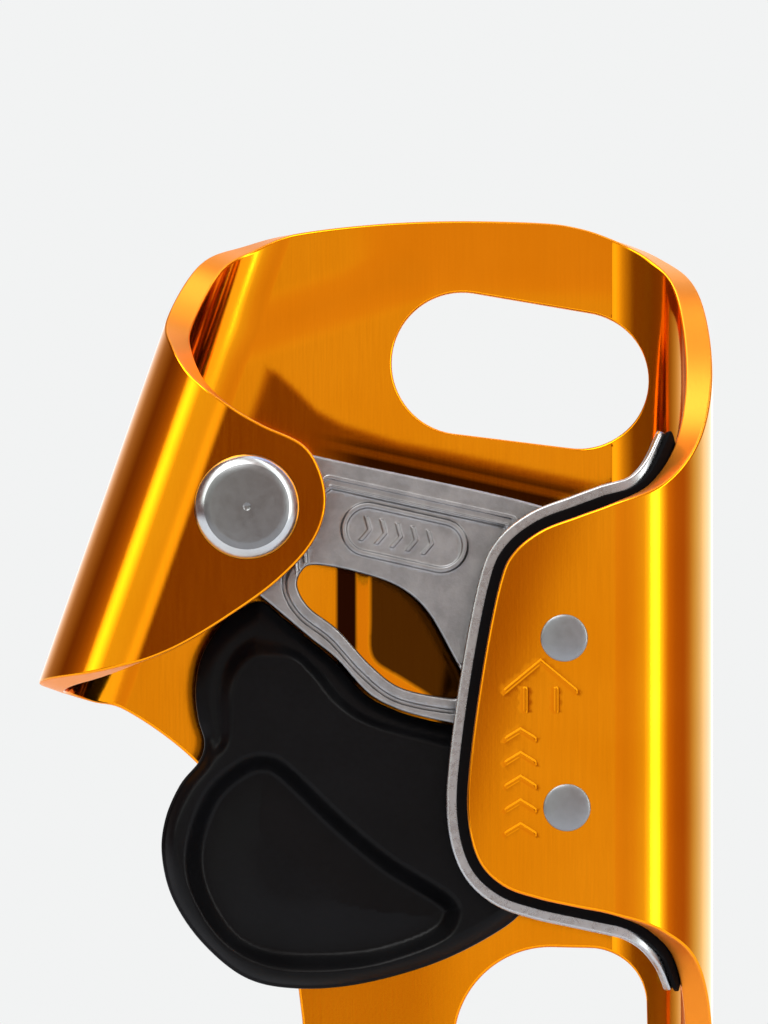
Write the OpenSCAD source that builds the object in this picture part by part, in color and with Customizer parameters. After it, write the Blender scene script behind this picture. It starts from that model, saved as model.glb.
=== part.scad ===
// Chest ascender (ventral rope clamp). The frame is one bent aluminium plate.
// Frame of reference: origin at the centre of the lower attachment eye, halfway
// through the back plate. +Z runs up along the rope, +X towards the rope channel,
// and the front of the device faces -Y. Millimetres.

/* [Plate] */
// Thickness of the bent aluminium plate
sheet_t = 3; // [2.8:0.1:3]
// Clear depth inside the rope channel, between back plate and front flap
channel_gap = 16; // [16:0.1:16.4]
// Clear depth on the cam's side, between back plate and pivot flap
pivot_gap = 14; // [14:0.1:14.3]
// Lean of the pivot side's bend line from vertical, in degrees
pivot_lean = 19.4; // [19.2:0.1:19.6]

/* [Eyes] */
// Diameter of the lower attachment eye
lower_eye_d = 21.2; // [20.8:0.2:21.4]
// Width of the slotted upper eye at its wider end
upper_eye_w = 15.6; // [15.2:0.2:15.8]

/* [Wear liner] */
// Thickness of the stainless wear liner
liner_t = 0.9; // [0.8:0.1:1]
// Thickness of the insulating strip between liner and plate
strip_t = 0.6; // [0.5:0.1:0.7]
// How far the liner's rim stands out past the front flap
liner_rim = 2.3; // [2:0.1:2.4]
// How far the insulating strip stands out past the front flap
strip_rim = 1.15; // [0.9:0.05:1.2]

/* [Pivots] */
// Diameter of the cam axle's shank
axle_d = 8; // [7.6:0.2:8]
// Diameter of the axle's front head
axle_head_d = 11.6; // [11:0.2:12]
// Diameter of the trigger pin
trigger_pin_d = 3; // [2.8:0.1:3]

/* [Cam teeth] */
// Height of the conical teeth
tooth_h = 1.3; // [1:0.1:1.3]
// Radius of each tooth at its root
tooth_r = 0.8; // [0.7:0.05:0.9]

/* [Hidden] */

gap = 0.05;                              // working gap between neighbouring pieces
back_front_y = -sheet_t / 2;             // front face of the back plate
back_rear_y = sheet_t / 2;               // rear face of the back plate

// Rope channel bend
bend_x = 6.8;                            // bend line of the channel side
bend_r_in = channel_gap / 2;
bend_r_mid = bend_r_in + sheet_t / 2;
bend_r_out = bend_r_in + sheet_t;
flap_in_y = back_front_y - channel_gap;  // inner face of the front flap
flap_out_y = flap_in_y - sheet_t;        // outer face of the front flap
channel_y = -bend_r_mid;                 // depth of the channel's centre line

// Pivot side bend
lean_point = [-40.4, 55.1];                // a point on the leaning bend line, as [x, z]
lean_dir = [sin(pivot_lean), cos(pivot_lean)];
pivot_r_in = pivot_gap / 2;
pivot_r_mid = pivot_r_in + sheet_t / 2;
pivot_r_out = pivot_r_in + sheet_t;
pivot_in_y = back_front_y - pivot_gap;   // inner face of the pivot flap
pivot_out_y = pivot_in_y - sheet_t;      // outer face of the pivot flap

// Heights of the cut edges round each bend, every 30 degrees from back plate to flap
bend_pitch = 30;
bend_angles = [for (a = [-5 : 5 : 185]) a];
bend_lap = 0.3;                          // flat lap at each end of a bend
lap_x = bend_x - bend_lap / 2;           // where the flat pieces end inside the channel bend's lap
channel_top = [88.7, 86.5, 82.9, 74.6, 66.7, 61.8, 59.6];
channel_bottom = [-20.9, -18.5, -13.1, -1.4, 8.4, 12.5, 14.4];
pivot_top = [36.2, 33, 29.7, 23.2, 20.3, 17.6, 16];
pivot_bottom = [-19.5, -19.8, -19.9, -19.8, -18.7, -16.8, -13.7];

// Outlines as [x, z]
plate_top = [[-19.9, 90.3], [-11.1, 90.7], [-1.2, 90.5], [3.2, 89.9]];
plate_bottom = [[1, -21.7], [-10, -20.7], [-18, -17.1], [-23.7, -10.9], [-26.6, -3.9], [-27.5, 3.6],
                [-28.6, 11.1], [-31, 18.6], [-35, 26.1], [-40.3, 32.1]];
flap_edge = [[3, 58.2], [-1.1, 56.6], [-4.2, 54.1], [-5.7, 50.7], [-7.4, 42.3], [-8.9, 31.7],
             [-9.2, 25.3], [-8, 20.4], [-5.3, 17.6], [-1.5, 16.2], [3, 15.2]];
pivot_flap_edge = [[-31.7, 68.2], [-27.2, 66], [-25.2, 62.7], [-24.8, 58.9], [-26.4, 54.9],
                   [-30.3, 50.8], [-35.6, 47], [-40.6, 44]];

upper_eye = [[-9.7, 75], [3.2, 73.1]];   // centres of the slotted eye's two ends
upper_eye_taper = 0.3;                   // how much smaller its channel end's radius is
eye_relief = [4.3, 4.3];                 // corner relief of the lower eye
eye_relief_r = 6.2;
eye_cut_y = [-9, 3];                     // depths between which both eyes are cut
liner_rivets = [[1.4, 44.8], [1.7, 26.2]];
rivet_r = 1.6;
rivet_head_r = 2.6;
rivet_head_h = 0.5;

// Shallow pressed pocket in the back plate behind the cam's window
pocket = [[-20.6, 56.5], [-20.6, 43.3], [-19.6, 41.4], [-12, 36.7], [-3, 34.1], [-3, 56.5]];
pocket_depth = 0.7;

// Liner
liner_gap = 0.04;
strip_out_r = bend_r_in - liner_gap;
strip_in_r = strip_out_r - strip_t;
liner_out_r = strip_in_r - liner_gap;
liner_in_r = liner_out_r - liner_t;
liner_left_x = -1;                       // left edge of the liner's back leg
liner_top = [[0, 53.1], [95, 53.1], [108, 56.6], [118, 62.1], [127, 67.3], [133, 67.5], [150, 64.3],
             [165, 62.5], [180, 61.9]];
liner_bottom = [[0, 19.1], [92, 19.1], [101, 14.1], [110, 8.1], [118, 6], [125, 6.7], [135, 8.4],
                [150, 10.2], [165, 11.4], [180, 12.1]];
strip_top = [[0, 52.3], [95, 52.3], [108, 57.1], [118, 65.2], [126, 67.5], [133, 66.4], [150, 62.9],
             [165, 61.3], [180, 60.7]];
strip_bottom = [[0, 19.9], [92, 19.9], [101, 13.6], [110, 6.7], [118, 6.2], [125, 7.5], [135, 9.6],
                [150, 11.3], [165, 12.6], [180, 13.3]];

// Cam
axle = [-33.4, 59.2];
axle_r = axle_d / 2;
hub_r = 7.6;
hub_back_y = -6;                         // rear end of the cam's hub; the spring sits behind it
thrust_t = 0.8;
hub_front_y = pivot_in_y + thrust_t + 3 * gap;
hub_rear_y = back_front_y - thrust_t - 3 * gap;
bush_r = 5;
arm_front_y = -13.6;                     // front rims of the cam's arm
arm_rear_y = -5.4;
web_front_y = -12.6;                     // recessed web between the rims
face_start = 12;                         // toothed face, in degrees below level
face_end = 32;
face_grip = 20;                          // angle of the log spiral
face_reach = 44.4;                       // from axle to the face at its grip angle, along X
face_r20 = face_reach / cos(face_grip);
arm_top = [[-33.4, 66.3], [-25.8, 64.8], [-3.4, 59.9], [3.4, 57.2], [8, 52.6]];
arm_bottom = [[8.9, 31.05], [7, 31.5], [-3.4, 33.8], [-10.8, 35.4], [-13.7, 36], [-17, 37],
              [-20.2, 38.8], [-23.6, 42.5], [-26.6, 44.9], [-31.6, 49.1], [-35.5, 52.3]];
cam_window = [[-27.9, 50.4], [-27.4, 52.1], [-26, 52.8], [-21.8, 52.1], [-17, 50.5], [-13.7, 47.8],
              [-10.8, 42.8], [-9.4, 39.8], [-10, 38.3], [-11.8, 38.2], [-16.6, 39.3],
              [-19.9, 41.8], [-23.4, 45.6], [-26.6, 48.1]];
web_recess = [[-24.6, 62.1], [-4.4, 57.6], [-2.6, 52], [-6.6, 41], [-10, 41], [-14.6, 44], [-20, 49.6],
              [-24.6, 51.4]];
badge = [[-20.1, 56.7], [-12.1, 54.9]];  // centres of the raised blank badge's two ends
badge_r = 3.1;
badge_rise = 0.5;
spring_r = 6.1;                          // the cam spring's coil and wire
spring_wire_r = 0.45;
spring_y = [-5.3, -2.7];                 // depths of its first and last coil
spring_hook = [10.6, 3.6];               // its hole in the cam, from the axle

// Trigger
pin = [-4, 30.1];
pin_r = trigger_pin_d / 2;
pin_head_r = 2.4;
pin_head_h = 0.6;
ear_r = 3.4;
lug_r = 3;
lug_y = [-10.6, -8.3];
fork_y = [-10.9, -6.1];                  // slot of the trigger's fork
fork_r = 3.6;
trigger_front_y = -12.8;
trigger_rear_y = -3.9;
trigger_edge_y = [-10.4, -5.8];          // thickness at the trigger's outline
trigger_bevel = 1.2;
trigger_outline = [[-32.2, 48.8], [-35.9, 46.6], [-38.3, 43], [-39.1, 39.3], [-38.8, 35.9],
                   [-38.1, 33.3], [-38.7, 31.2], [-40.8, 28.6], [-42.4, 24.9], [-42.8, 20.9],
                   [-41.6, 16.1], [-38.4, 11.3], [-33.6, 7.4], [-28, 6.2], [-21, 6.7], [-13, 8.9],
                   [-6.6, 12], [-3, 14.9], [-1.6, 19.1], [-1.4, 25.1], [-1.6, 29.6], [-2.7, 32.2],
                   [-5.5, 33.55], [-9.3, 34.75], [-13.7, 35.75], [-17, 36.75], [-20.35, 38.5],
                   [-23.85, 42.3], [-26.75, 44.7], [-29.5, 47]];
thumb_well = [[-40, 21.6], [-39.2, 16.2], [-35.8, 11], [-31, 8.7], [-25, 8.3], [-18.8, 8.9],
              [-12.6, 11.1], [-10.3, 13.6], [-10.9, 16.3], [-17.6, 20.6], [-23, 25.1], [-28.8, 30.6],
              [-31.4, 31.8], [-34.4, 31], [-38, 27.6]];
thumb_wall = 2;
thumb_depth = 2.6;

// Engraved marks on the front flap: an arrow up the rope, and a row of chevrons below it
mark_depth = 0.25;
arrow = [-1.2, 38.4];
stems_x = [-2.9, 0.5];
chevrons_x = -3.4;
chevrons_z = [22.8 : 2.6 : 33.2];

// ---- functions ----

// Point at share t of the Catmull-Rom span from b to c
function catmull(a, b, c, d, t) =
    0.5 * (2 * b + (c - a) * t + (2 * a - 5 * b + 4 * c - d) * t * t + (3 * b - a - 3 * c + d) * t * t * t);

// Neighbours of the span that starts at entry i, carried straight on past either end
function before(p, i) = i > 0 ? p[i - 1] : 2 * p[0] - p[1];
function after(p, i) = i + 2 < len(p) ? p[i + 2] : 2 * p[i + 1] - p[i];

// Smooth open curve through the points p, with n steps a span
function open_curve(p, n = 4) = [
    for (i = [0 : len(p) - 2], k = [0 : n - 1])
        catmull(before(p, i), p[i], p[i + 1], after(p, i), k / n),
    p[len(p) - 1]
];

// Smooth closed curve through the points p
function closed_curve(p, n = 3) = [
    for (i = [0 : len(p) - 1], k = [0 : n - 1])
        catmull(p[(i + len(p) - 1) % len(p)], p[i], p[(i + 1) % len(p)], p[(i + 2) % len(p)], k / n)
];

// Unit normal to the left of the direction from a to b
function left_of(a, b) = let (d = b - a) [-d.y, d.x] / norm(d);

// Open curve moved sideways by d, to its left
function shifted(p, d) = [
    for (i = [0 : len(p) - 1]) p[i] + d * left_of(p[max(i - 1, 0)], p[min(i + 1, len(p) - 1)])
];

// Closed curve moved sideways by d, to its left
function inset(p, d) = [
    for (i = [0 : len(p) - 1]) p[i] + d * left_of(p[(i + len(p) - 1) % len(p)], p[(i + 1) % len(p)])
];

// Value of a table with an entry every bend_pitch degrees, smoothed
function smooth(table, angle) =
    let (i = max(0, min(floor(angle / bend_pitch), len(table) - 2)), t = angle / bend_pitch - i)
    catmull(before(table, i), table[i], table[i + 1], after(table, i), t);

// Point [x, z] at u along the leaning bend line, inside the bend's lap
function on_lean(u) = lean_point + u * lean_dir + bend_lap / 2 * [lean_dir.y, -lean_dir.x];

// Radius of the cam's toothed face at an angle below level
function face_r(angle) = face_r20 * exp(tan(face_grip) * (angle - face_grip) * PI / 180);
function face_point(angle) = axle + face_r(angle) * [cos(angle), -sin(angle)];

// ---- helpers ----

// Extrudes a 2D shape drawn in X and Z between two depths
module slab(y0, y1) {
    translate([0, y1, 0]) rotate([90, 0, 0]) linear_extrude(y1 - y0) children();
}

// Round bar along Y
module rod(at, r, y0, y1) {
    translate([at.x, y1, at.y]) rotate([90, 0, 0]) cylinder(r = r, h = y1 - y0, $fn = 64);
}

// Ring along Y
module ring(at, r0, r1, y0, y1) {
    difference() {
        rod(at, r1, y0, y1);
        rod(at, r0, y0 - 1, y1 + 1);
    }
}

// Bar along Y with two round ends, each with its own radius
module oblong(ends, radii, y0, y1) {
    side = left_of(ends[0], ends[1]);
    for (i = [0, 1]) rod(ends[i], radii[i], y0, y1);
    slab(y0, y1) polygon([ends[0] + radii[0] * side, ends[1] + radii[1] * side,
                          ends[1] - radii[1] * side, ends[0] - radii[0] * side]);
}

// Wedge-shaped cutter that follows the cut edges round a bend. Each section is
// [angle, lowest z, highest z]; the angle runs from the back plate to the flap.
module bend_cutter(r_in, r_out, sections) {
    n = len(sections);
    rings = [
        for (s = sections)
            let (d = [sin(s[0]), cos(s[0])], a = r_in * d, b = r_out * d)
            [[a.x, a.y, s[1]], [b.x, b.y, s[1]], [b.x, b.y, s[2]], [a.x, a.y, s[2]]]
    ];
    polyhedron(
        points = [for (q = rings, p = q) p],
        faces = [
            [0, 1, 2, 3],
            for (i = [0 : n - 2], k = [0 : 3])
                let (a = 4 * i + k, b = 4 * i + (k + 1) % 4) each [[a, b + 4, b], [a, a + 4, b + 4]],
            [for (k = [3 : -1 : 0]) 4 * (n - 1) + k]
        ],
        convexity = 4);
}

// Half-round bend of a plate that lies at depth 0 before the bend and curls towards -Y
// round a line along Z, with a short flat lap at each end. Its cut edges stay square to it.
module bend(r_in, r_out, r_mid, sections) {
    low = min([for (s = sections) s[1]]) - 1;
    high = max([for (s = sections) s[2]]) + 1;
    translate([0, -r_mid, 0]) intersection() {
        translate([0, 0, low]) union() {
            rotate([0, 0, -90]) rotate_extrude(angle = 180, $fn = 96)
                translate([r_in, 0]) square([r_out - r_in, high - low]);
            for (y = [r_in, -r_out]) translate([-bend_lap, y, 0]) cube([bend_lap, r_out - r_in, high - low]);
        }
        bend_cutter(r_in - 1, r_out + 1, sections);
    }
}

// Round wire along a list of points; each ring's plane comes from the neighbours
module wire(path, r, sides = 8) {
    n = len(path);
    rings = [
        for (i = [0 : n - 1])
            let (d = path[min(i + 1, n - 1)] - path[max(i - 1, 0)], t = d / norm(d),
                 up = abs(t.y) < 0.9 ? [0, 1, 0] : [1, 0, 0],
                 a = cross(t, up) / norm(cross(t, up)), b = cross(t, a))
            [for (k = [0 : sides - 1]) path[i] + r * (cos(360 * k / sides) * a + sin(360 * k / sides) * b)]
    ];
    polyhedron(
        points = [for (q = rings, p = q) p],
        faces = [
            [for (k = [0 : sides - 1]) k],
            for (i = [0 : n - 2], k = [0 : sides - 1])
                let (a = sides * i + k, b = sides * i + (k + 1) % sides)
                each [[a, a + sides, b + sides], [a, b + sides, b]],
            [for (k = [sides - 1 : -1 : 0]) sides * (n - 1) + k]
        ],
        convexity = 6);
}

// Points of a torsion spring's coil round a centre, from angle a0 through turns, in depth y0 to y1
function coil(at, r, a0, turns, y0, y1, steps = 16) = [
    for (i = [0 : turns * steps])
        let (a = a0 + 360 * i / steps)
        [at.x + r * cos(a), y0 + (y1 - y0) * i / (turns * steps), at.y + r * sin(a)]
];

// Solid through a list of [closed curve, depth], each curve with the same number of points,
// from front to back
module loft(rings) {
    n = len(rings);
    m = len(rings[0][0]);
    polyhedron(
        points = [for (q = rings, p = q[0]) [p.x, q[1], p.y]],
        faces = [
            [for (k = [m - 1 : -1 : 0]) k],
            for (i = [0 : n - 2], k = [0 : m - 1])
                let (a = m * i + k, b = m * i + (k + 1) % m) each [[a, b, b + m], [a, b + m, a + m]],
            [for (k = [0 : m - 1]) m * (n - 1) + k]
        ],
        convexity = 8);
}

// ---- frame ----

module back_plate() {
    slab(back_front_y, back_rear_y) polygon(concat(
        open_curve(concat([on_lean(pivot_top[0])], plate_top, [[lap_x, channel_top[0]]])),
        open_curve(concat([[lap_x, channel_bottom[0]]], plate_bottom, [on_lean(pivot_bottom[0])]))));
}

module front_flap() {
    slab(flap_out_y, flap_in_y) polygon(open_curve(concat(
        [[lap_x, channel_top[6]]], flap_edge, [[lap_x, channel_bottom[6]]])));
}

module chevron(at, half, rise, stroke) {
    translate(at)
        polygon([[-half, 0], [0, rise], [half, 0], [half, stroke], [0, rise + stroke], [-half, stroke]]);
}

module engraved_mark() {
    slab(flap_out_y - 1, flap_out_y + mark_depth) {
        chevron(arrow, 4.1, 3.4, 0.8);
        for (x = stems_x) translate([x - 0.3, arrow.y - 1.9]) square([0.6, 3]);
        for (z = chevrons_z) chevron([chevrons_x, z], 1.8, 1.1, 0.75);
    }
}

module pivot_flap() {
    slab(pivot_out_y, pivot_in_y) polygon(open_curve(concat(
        [on_lean(pivot_top[6])], pivot_flap_edge, [on_lean(pivot_bottom[6])])));
}

module channel_bend() {
    translate([bend_x, 0, 0]) bend(bend_r_in, bend_r_out, bend_r_mid,
        [for (a = bend_angles) [a, smooth(channel_bottom, a), smooth(channel_top, a)]]);
}

module pivot_bend() {
    translate([lean_point.x, 0, lean_point.y]) rotate([0, pivot_lean, 0]) mirror([1, 0, 0])
        bend(pivot_r_in, pivot_r_out, pivot_r_mid,
            [for (a = bend_angles) [a, smooth(pivot_bottom, a), smooth(pivot_top, a)]]);
}

module upper_eye_cut() {
    oblong(upper_eye, [upper_eye_w / 2, upper_eye_w / 2 - upper_eye_taper], eye_cut_y[0], eye_cut_y[1]);
}

module lower_eye_cut() {
    rod([0, 0], lower_eye_d / 2, eye_cut_y[0], eye_cut_y[1]);
    rod(eye_relief, eye_relief_r, eye_cut_y[0], eye_cut_y[1]);
}

module frame() {
    color("orange") difference() {
        union() {
            back_plate();
            channel_bend();
            front_flap();
            pivot_bend();
            pivot_flap();
        }
        lower_eye_cut();
        upper_eye_cut();
        rod(axle, axle_r + gap, pivot_out_y - 1, back_rear_y + 1);
        for (c = liner_rivets) rod(c, rivet_r + 0.02, flap_out_y - 1, flap_in_y + 1);
        slab(back_front_y - 1, back_front_y + pocket_depth) polygon(pocket);
        engraved_mark();
    }
}

// ---- wear liner and its strip ----

// Front leg of a lining layer, standing out past the flap by rim
module lining_front(rim, y0, y1) {
    edge = shifted(open_curve(concat(
        [[lap_x, channel_top[6]]], flap_edge, [[lap_x, channel_bottom[6]]])), -rim);
    slab(y0, y1) polygon(concat([[lap_x, channel_top[6] + rim]], edge, [[lap_x, channel_bottom[6] - rim]]));
}

module lining(r_in, r_out, rim, top, bottom) {
    difference() {
        union() {
            lining_front(rim, channel_y - r_out, channel_y - r_in);
            translate([bend_x, 0, 0]) bend(r_in, r_out, bend_r_mid,
                [for (a = bend_angles) [a, lookup(a, bottom), lookup(a, top)]]);
            translate([liner_left_x, channel_y + r_in, bottom[0][1]])
                cube([lap_x - liner_left_x, r_out - r_in, top[0][1] - bottom[0][1]]);
        }
        for (c = liner_rivets) rod(c, rivet_r + 0.02, channel_y - r_out - 1, channel_y - r_in + 1);
    }
}

module wear_liner() {
    color("silver") lining(liner_in_r, liner_out_r, liner_rim, liner_top, liner_bottom);
}

module insulating_strip() {
    color("black") lining(strip_in_r, strip_out_r, strip_rim, strip_top, strip_bottom);
}

module liner_rivet(at) {
    color("silver") {
        rod(at, rivet_r, flap_out_y - 0.1, channel_y - liner_in_r + 0.1);
        rod(at, rivet_head_r, flap_out_y - rivet_head_h, flap_out_y);
        rod(at, rivet_head_r - 0.3, channel_y - liner_in_r, channel_y - liner_in_r + rivet_head_h);
    }
}

module upper_liner_rivet() { liner_rivet(liner_rivets[0]); }
module lower_liner_rivet() { liner_rivet(liner_rivets[1]); }

// ---- cam axle ----

module cam_axle() {
    head_h = 2;
    rim_r = axle_head_d / 2;
    color("silver") translate([axle.x, 0, axle.y]) rotate([90, 0, 0]) rotate_extrude($fn = 96) polygon([
        [0, -back_rear_y - 2.4], [axle_r + 0.4, -back_rear_y - 2.4], [axle_r + 1.1, -back_rear_y - 1.7],
        [axle_r + 1.1, -back_rear_y - 1], [axle_r, -back_rear_y - 1],
        [axle_r, -pivot_out_y], [rim_r, -pivot_out_y], [rim_r, -pivot_out_y + 0.7],
        [rim_r - 0.6, -pivot_out_y + 1.5], [rim_r - 1.9, -pivot_out_y + head_h], [0, -pivot_out_y + head_h]
    ]);
}

module axle_rear_washer() {
    color("silver") ring(axle, axle_r + gap, 6.6, back_rear_y, back_rear_y + 1);
}

// ---- cam ----

module cam_arm_outline() {
    polygon(concat(
        open_curve(arm_top),
        [for (a = [face_start : 2 : face_end]) face_point(a)],
        open_curve(arm_bottom, 2)));
}

module teeth() {
    for (row = [0 : 6], column = [-1 : 1]) {
        angle = face_start + 1.2 + 2.9 * row + (column == 0 ? 1.4 : 0);
        slotted = column == 0 && row > 1 && row < 5;
        if (!slotted && angle < face_end - 0.8) {
            p = face_point(angle);
            translate([p.x, channel_y + 2.4 * column, p.y]) rotate([0, 90 + angle - face_grip, 0])
                translate([0, 0, -0.4]) cylinder(r1 = tooth_r * 1.3, r2 = 0.12, h = tooth_h + 0.4, $fn = 20);
        }
    }
}

module cam() {
    color("lightgray") difference() {
        union() {
            slab(arm_front_y, arm_rear_y) cam_arm_outline();
            rod(axle, hub_r, hub_front_y, hub_back_y);
            teeth();
            slab(lug_y[0], lug_y[1]) polygon([[pin.x - 2.4, pin.y], [pin.x + 2.4, pin.y],
                [pin.x + 2.4, pin.y + 5], [pin.x - 2.4, pin.y + 6]]);
            rod(pin, lug_r, lug_y[0], lug_y[1]);
        }
        rod(axle, bush_r, hub_front_y - 1, hub_rear_y + 1);
        rod(axle, spring_r + 1.4, hub_back_y, arm_rear_y + 1);
        slab(hub_back_y, arm_rear_y + 1)
            polygon([for (p = [[0, 3], [13, 1.6], [13, 4.6], [0, 7.2]]) axle + p]);
        rod(axle + spring_hook, spring_wire_r + 0.15, hub_back_y - 3.2, hub_back_y + 1);
        slab(arm_front_y - 1, arm_rear_y + 1) polygon(closed_curve(cam_window));
        difference() {
            slab(arm_front_y - 1, web_front_y) polygon(closed_curve(web_recess, 4));
            oblong(badge, [badge_r, badge_r], web_front_y - badge_rise, web_front_y + 1);
        }
        translate([-11, channel_y - 1.3, 38.5]) cube([30, 2.6, 6.5]);
        rod(pin, pin_r + 0.02, lug_y[0] - 1, lug_y[1] + 1);
    }
}

module cam_bush() {
    color("darkgoldenrod") ring(axle, axle_r + gap, bush_r, hub_front_y, hub_rear_y);
}

module front_thrust_washer() {
    color("gray") ring(axle, axle_r + gap, 5.2, pivot_in_y + gap, pivot_in_y + gap + thrust_t);
}

module rear_thrust_washer() {
    color("gray") ring(axle, axle_r + gap, 5.2, back_front_y - gap - thrust_t, back_front_y - gap);
}

// Torsion spring behind the hub. One leg hooks into the cam, the other leans on the plate's bend.
module cam_spring() {
    color("gray") wire(concat(
        [axle3(spring_hook, hub_back_y - 2.6), axle3(spring_hook, spring_y[0] - 0.6),
         axle3(spring_hook - [0.5, -0.15], spring_y[0])],
        coil(axle, spring_r, 75, 1.96, spring_y[0], spring_y[1]),
        [axle3([-5.4, 9.7], spring_y[1])]), spring_wire_r);
}

// A point given from the axle as [x, z], at depth y
function axle3(p, y) = [axle.x + p.x, y, axle.y + p.y];

// ---- trigger ----

module trigger() {
    outline = closed_curve(trigger_outline);
    mid = inset(outline, trigger_bevel * 0.35);
    top = inset(outline, trigger_bevel);
    well = closed_curve(thumb_well, 2);
    color([0.08, 0.08, 0.08]) difference() {
        union() {
            loft([[top, trigger_front_y], [mid, trigger_front_y + 0.8], [outline, trigger_edge_y[0]],
                  [outline, trigger_edge_y[1]], [mid, trigger_rear_y - 0.8], [top, trigger_rear_y]]);
            rod(pin, ear_r, trigger_front_y - 0.3, trigger_rear_y + 0.3);
        }
        loft([[inset(well, -thumb_wall / 2), trigger_front_y - 1],
              [inset(well, thumb_wall), trigger_front_y + thumb_depth]]);
        rod(pin, fork_r, fork_y[0], fork_y[1]);
        translate([pin.x - 3, fork_y[0], pin.y]) cube([8, fork_y[1] - fork_y[0], 8]);
        rod(pin, pin_r + gap, trigger_front_y - 1, trigger_rear_y + 1);
    }
}

module trigger_pin() {
    color("silver") {
        rod(pin, pin_r, trigger_front_y - 0.3 - gap - pin_head_h, trigger_rear_y + 0.6 + pin_head_h);
        rod(pin, pin_head_r, trigger_front_y - 0.3 - gap - pin_head_h, trigger_front_y - 0.3 - gap);
    }
}

module trigger_pin_washer() {
    color("gray") ring(pin, pin_r, pin_head_r, trigger_rear_y + 0.3 + gap, trigger_rear_y + 0.3 + gap + 0.6);
}

// Torsion spring round the trigger pin, in the fork's slot behind the lug
module trigger_spring() {
    y0 = lug_y[1] + 0.45;
    y1 = fork_y[1] - 0.45;
    color("gray") wire(concat(
        [pin3([2.8, 2.7], y0 - 1.4), pin3([2.8, 2.7], y0)],
        coil(pin, 2.3, 98, 1.94, y0, y1, 14),
        [pin3([-2.6, 2.9], y1)]), 0.3);
}

// A point given from the trigger pin as [x, z], at depth y
function pin3(p, y) = [pin.x + p.x, y, pin.y + p.y];

frame();
wear_liner();
insulating_strip();
upper_liner_rivet();
lower_liner_rivet();
cam_axle();
axle_rear_washer();
cam();
cam_bush();
front_thrust_washer();
rear_thrust_washer();
cam_spring();
trigger();
trigger_pin();
trigger_pin_washer();
trigger_spring();
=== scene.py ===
"""Looks of a chest ascender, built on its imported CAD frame. Outlines are [x, z] in mm of the row frame."""

import math
from itertools import product

import bmesh
import bpy
import numpy as np
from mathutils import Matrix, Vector, kdtree
from mathutils.geometry import convex_hull_2d, delaunay_2d_cdt


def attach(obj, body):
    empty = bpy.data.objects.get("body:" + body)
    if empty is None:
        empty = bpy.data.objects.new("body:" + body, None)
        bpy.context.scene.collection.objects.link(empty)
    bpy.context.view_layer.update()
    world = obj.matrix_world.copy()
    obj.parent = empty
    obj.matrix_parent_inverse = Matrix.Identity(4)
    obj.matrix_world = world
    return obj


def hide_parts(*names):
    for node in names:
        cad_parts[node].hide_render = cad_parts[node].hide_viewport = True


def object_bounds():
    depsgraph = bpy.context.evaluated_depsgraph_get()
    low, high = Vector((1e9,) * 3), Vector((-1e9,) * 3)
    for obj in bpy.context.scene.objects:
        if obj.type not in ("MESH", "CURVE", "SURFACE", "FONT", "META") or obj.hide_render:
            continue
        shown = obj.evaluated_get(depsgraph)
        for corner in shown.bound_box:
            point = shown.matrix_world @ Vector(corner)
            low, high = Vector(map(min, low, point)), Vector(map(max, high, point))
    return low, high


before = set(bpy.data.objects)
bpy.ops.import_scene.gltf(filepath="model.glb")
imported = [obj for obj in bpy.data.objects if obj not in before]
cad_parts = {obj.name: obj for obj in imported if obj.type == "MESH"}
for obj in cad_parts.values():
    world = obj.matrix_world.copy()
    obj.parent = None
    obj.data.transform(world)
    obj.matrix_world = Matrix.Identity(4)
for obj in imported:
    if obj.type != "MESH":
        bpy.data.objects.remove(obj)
cad_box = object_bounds()

MM = 0.001

# ---- sizes, as in the part's source

SHEET = 3.0
BEND_X = 6.8
CHANNEL_R = 9.5
LEAN = math.radians(19.4)
LEAN_POINT = (-40.4, 55.1)
PIVOT_R = 8.5

CHANNEL_TOP = [88.7, 86.5, 82.9, 74.6, 66.7, 61.8, 59.6]
CHANNEL_BOTTOM = [-20.9, -18.5, -13.1, -1.4, 8.4, 12.5, 14.4]
PIVOT_TOP = [36.2, 33, 29.7, 23.2, 20.3, 17.6, 16]
PIVOT_BOTTOM = [-19.5, -19.8, -19.9, -19.8, -18.7, -16.8, -13.7]
PLATE_TOP = [[-19.9, 90.3], [-11.1, 90.7], [-1.2, 90.5], [3.2, 89.9]]
PLATE_BOTTOM = [[1, -21.7], [-10, -20.7], [-18, -17.1], [-23.7, -10.9], [-26.6, -3.9], [-27.5, 3.6],
                [-28.6, 11.1], [-31, 18.6], [-35, 26.1], [-40.3, 32.1]]
FLAP_EDGE = [[3, 58.2], [-1.1, 56.6], [-4.2, 54.1], [-5.7, 50.7], [-7.4, 42.3], [-8.9, 31.7],
             [-9.2, 25.3], [-8, 20.4], [-5.3, 17.6], [-1.5, 16.2], [3, 15.2]]
PIVOT_FLAP_EDGE = [[-31.7, 68.2], [-27.2, 66], [-25.2, 62.7], [-24.8, 58.9], [-26.4, 54.9],
                   [-30.3, 50.8], [-35.6, 47], [-40.6, 44]]
UPPER_EYE = [[-9.7, 75], [3.2, 73.1]]
UPPER_EYE_R = [7.8, 7.5]
LOWER_EYE_R = 10.6
EYE_RELIEF = ([4.3, 4.3], 6.2)
LINER_RIVETS = {"upper": [1.4, 44.8], "lower": [1.7, 26.2]}
RIVET_R = 1.6
RIVET_HEAD_R = 2.6
RIVET_HEAD_H = 0.5
POCKET = [[-20.6, 56.5], [-20.6, 43.3], [-19.6, 41.4], [-12, 36.7], [-3, 34.1], [-3, 56.5]]
POCKET_DEPTH = 0.12

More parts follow.
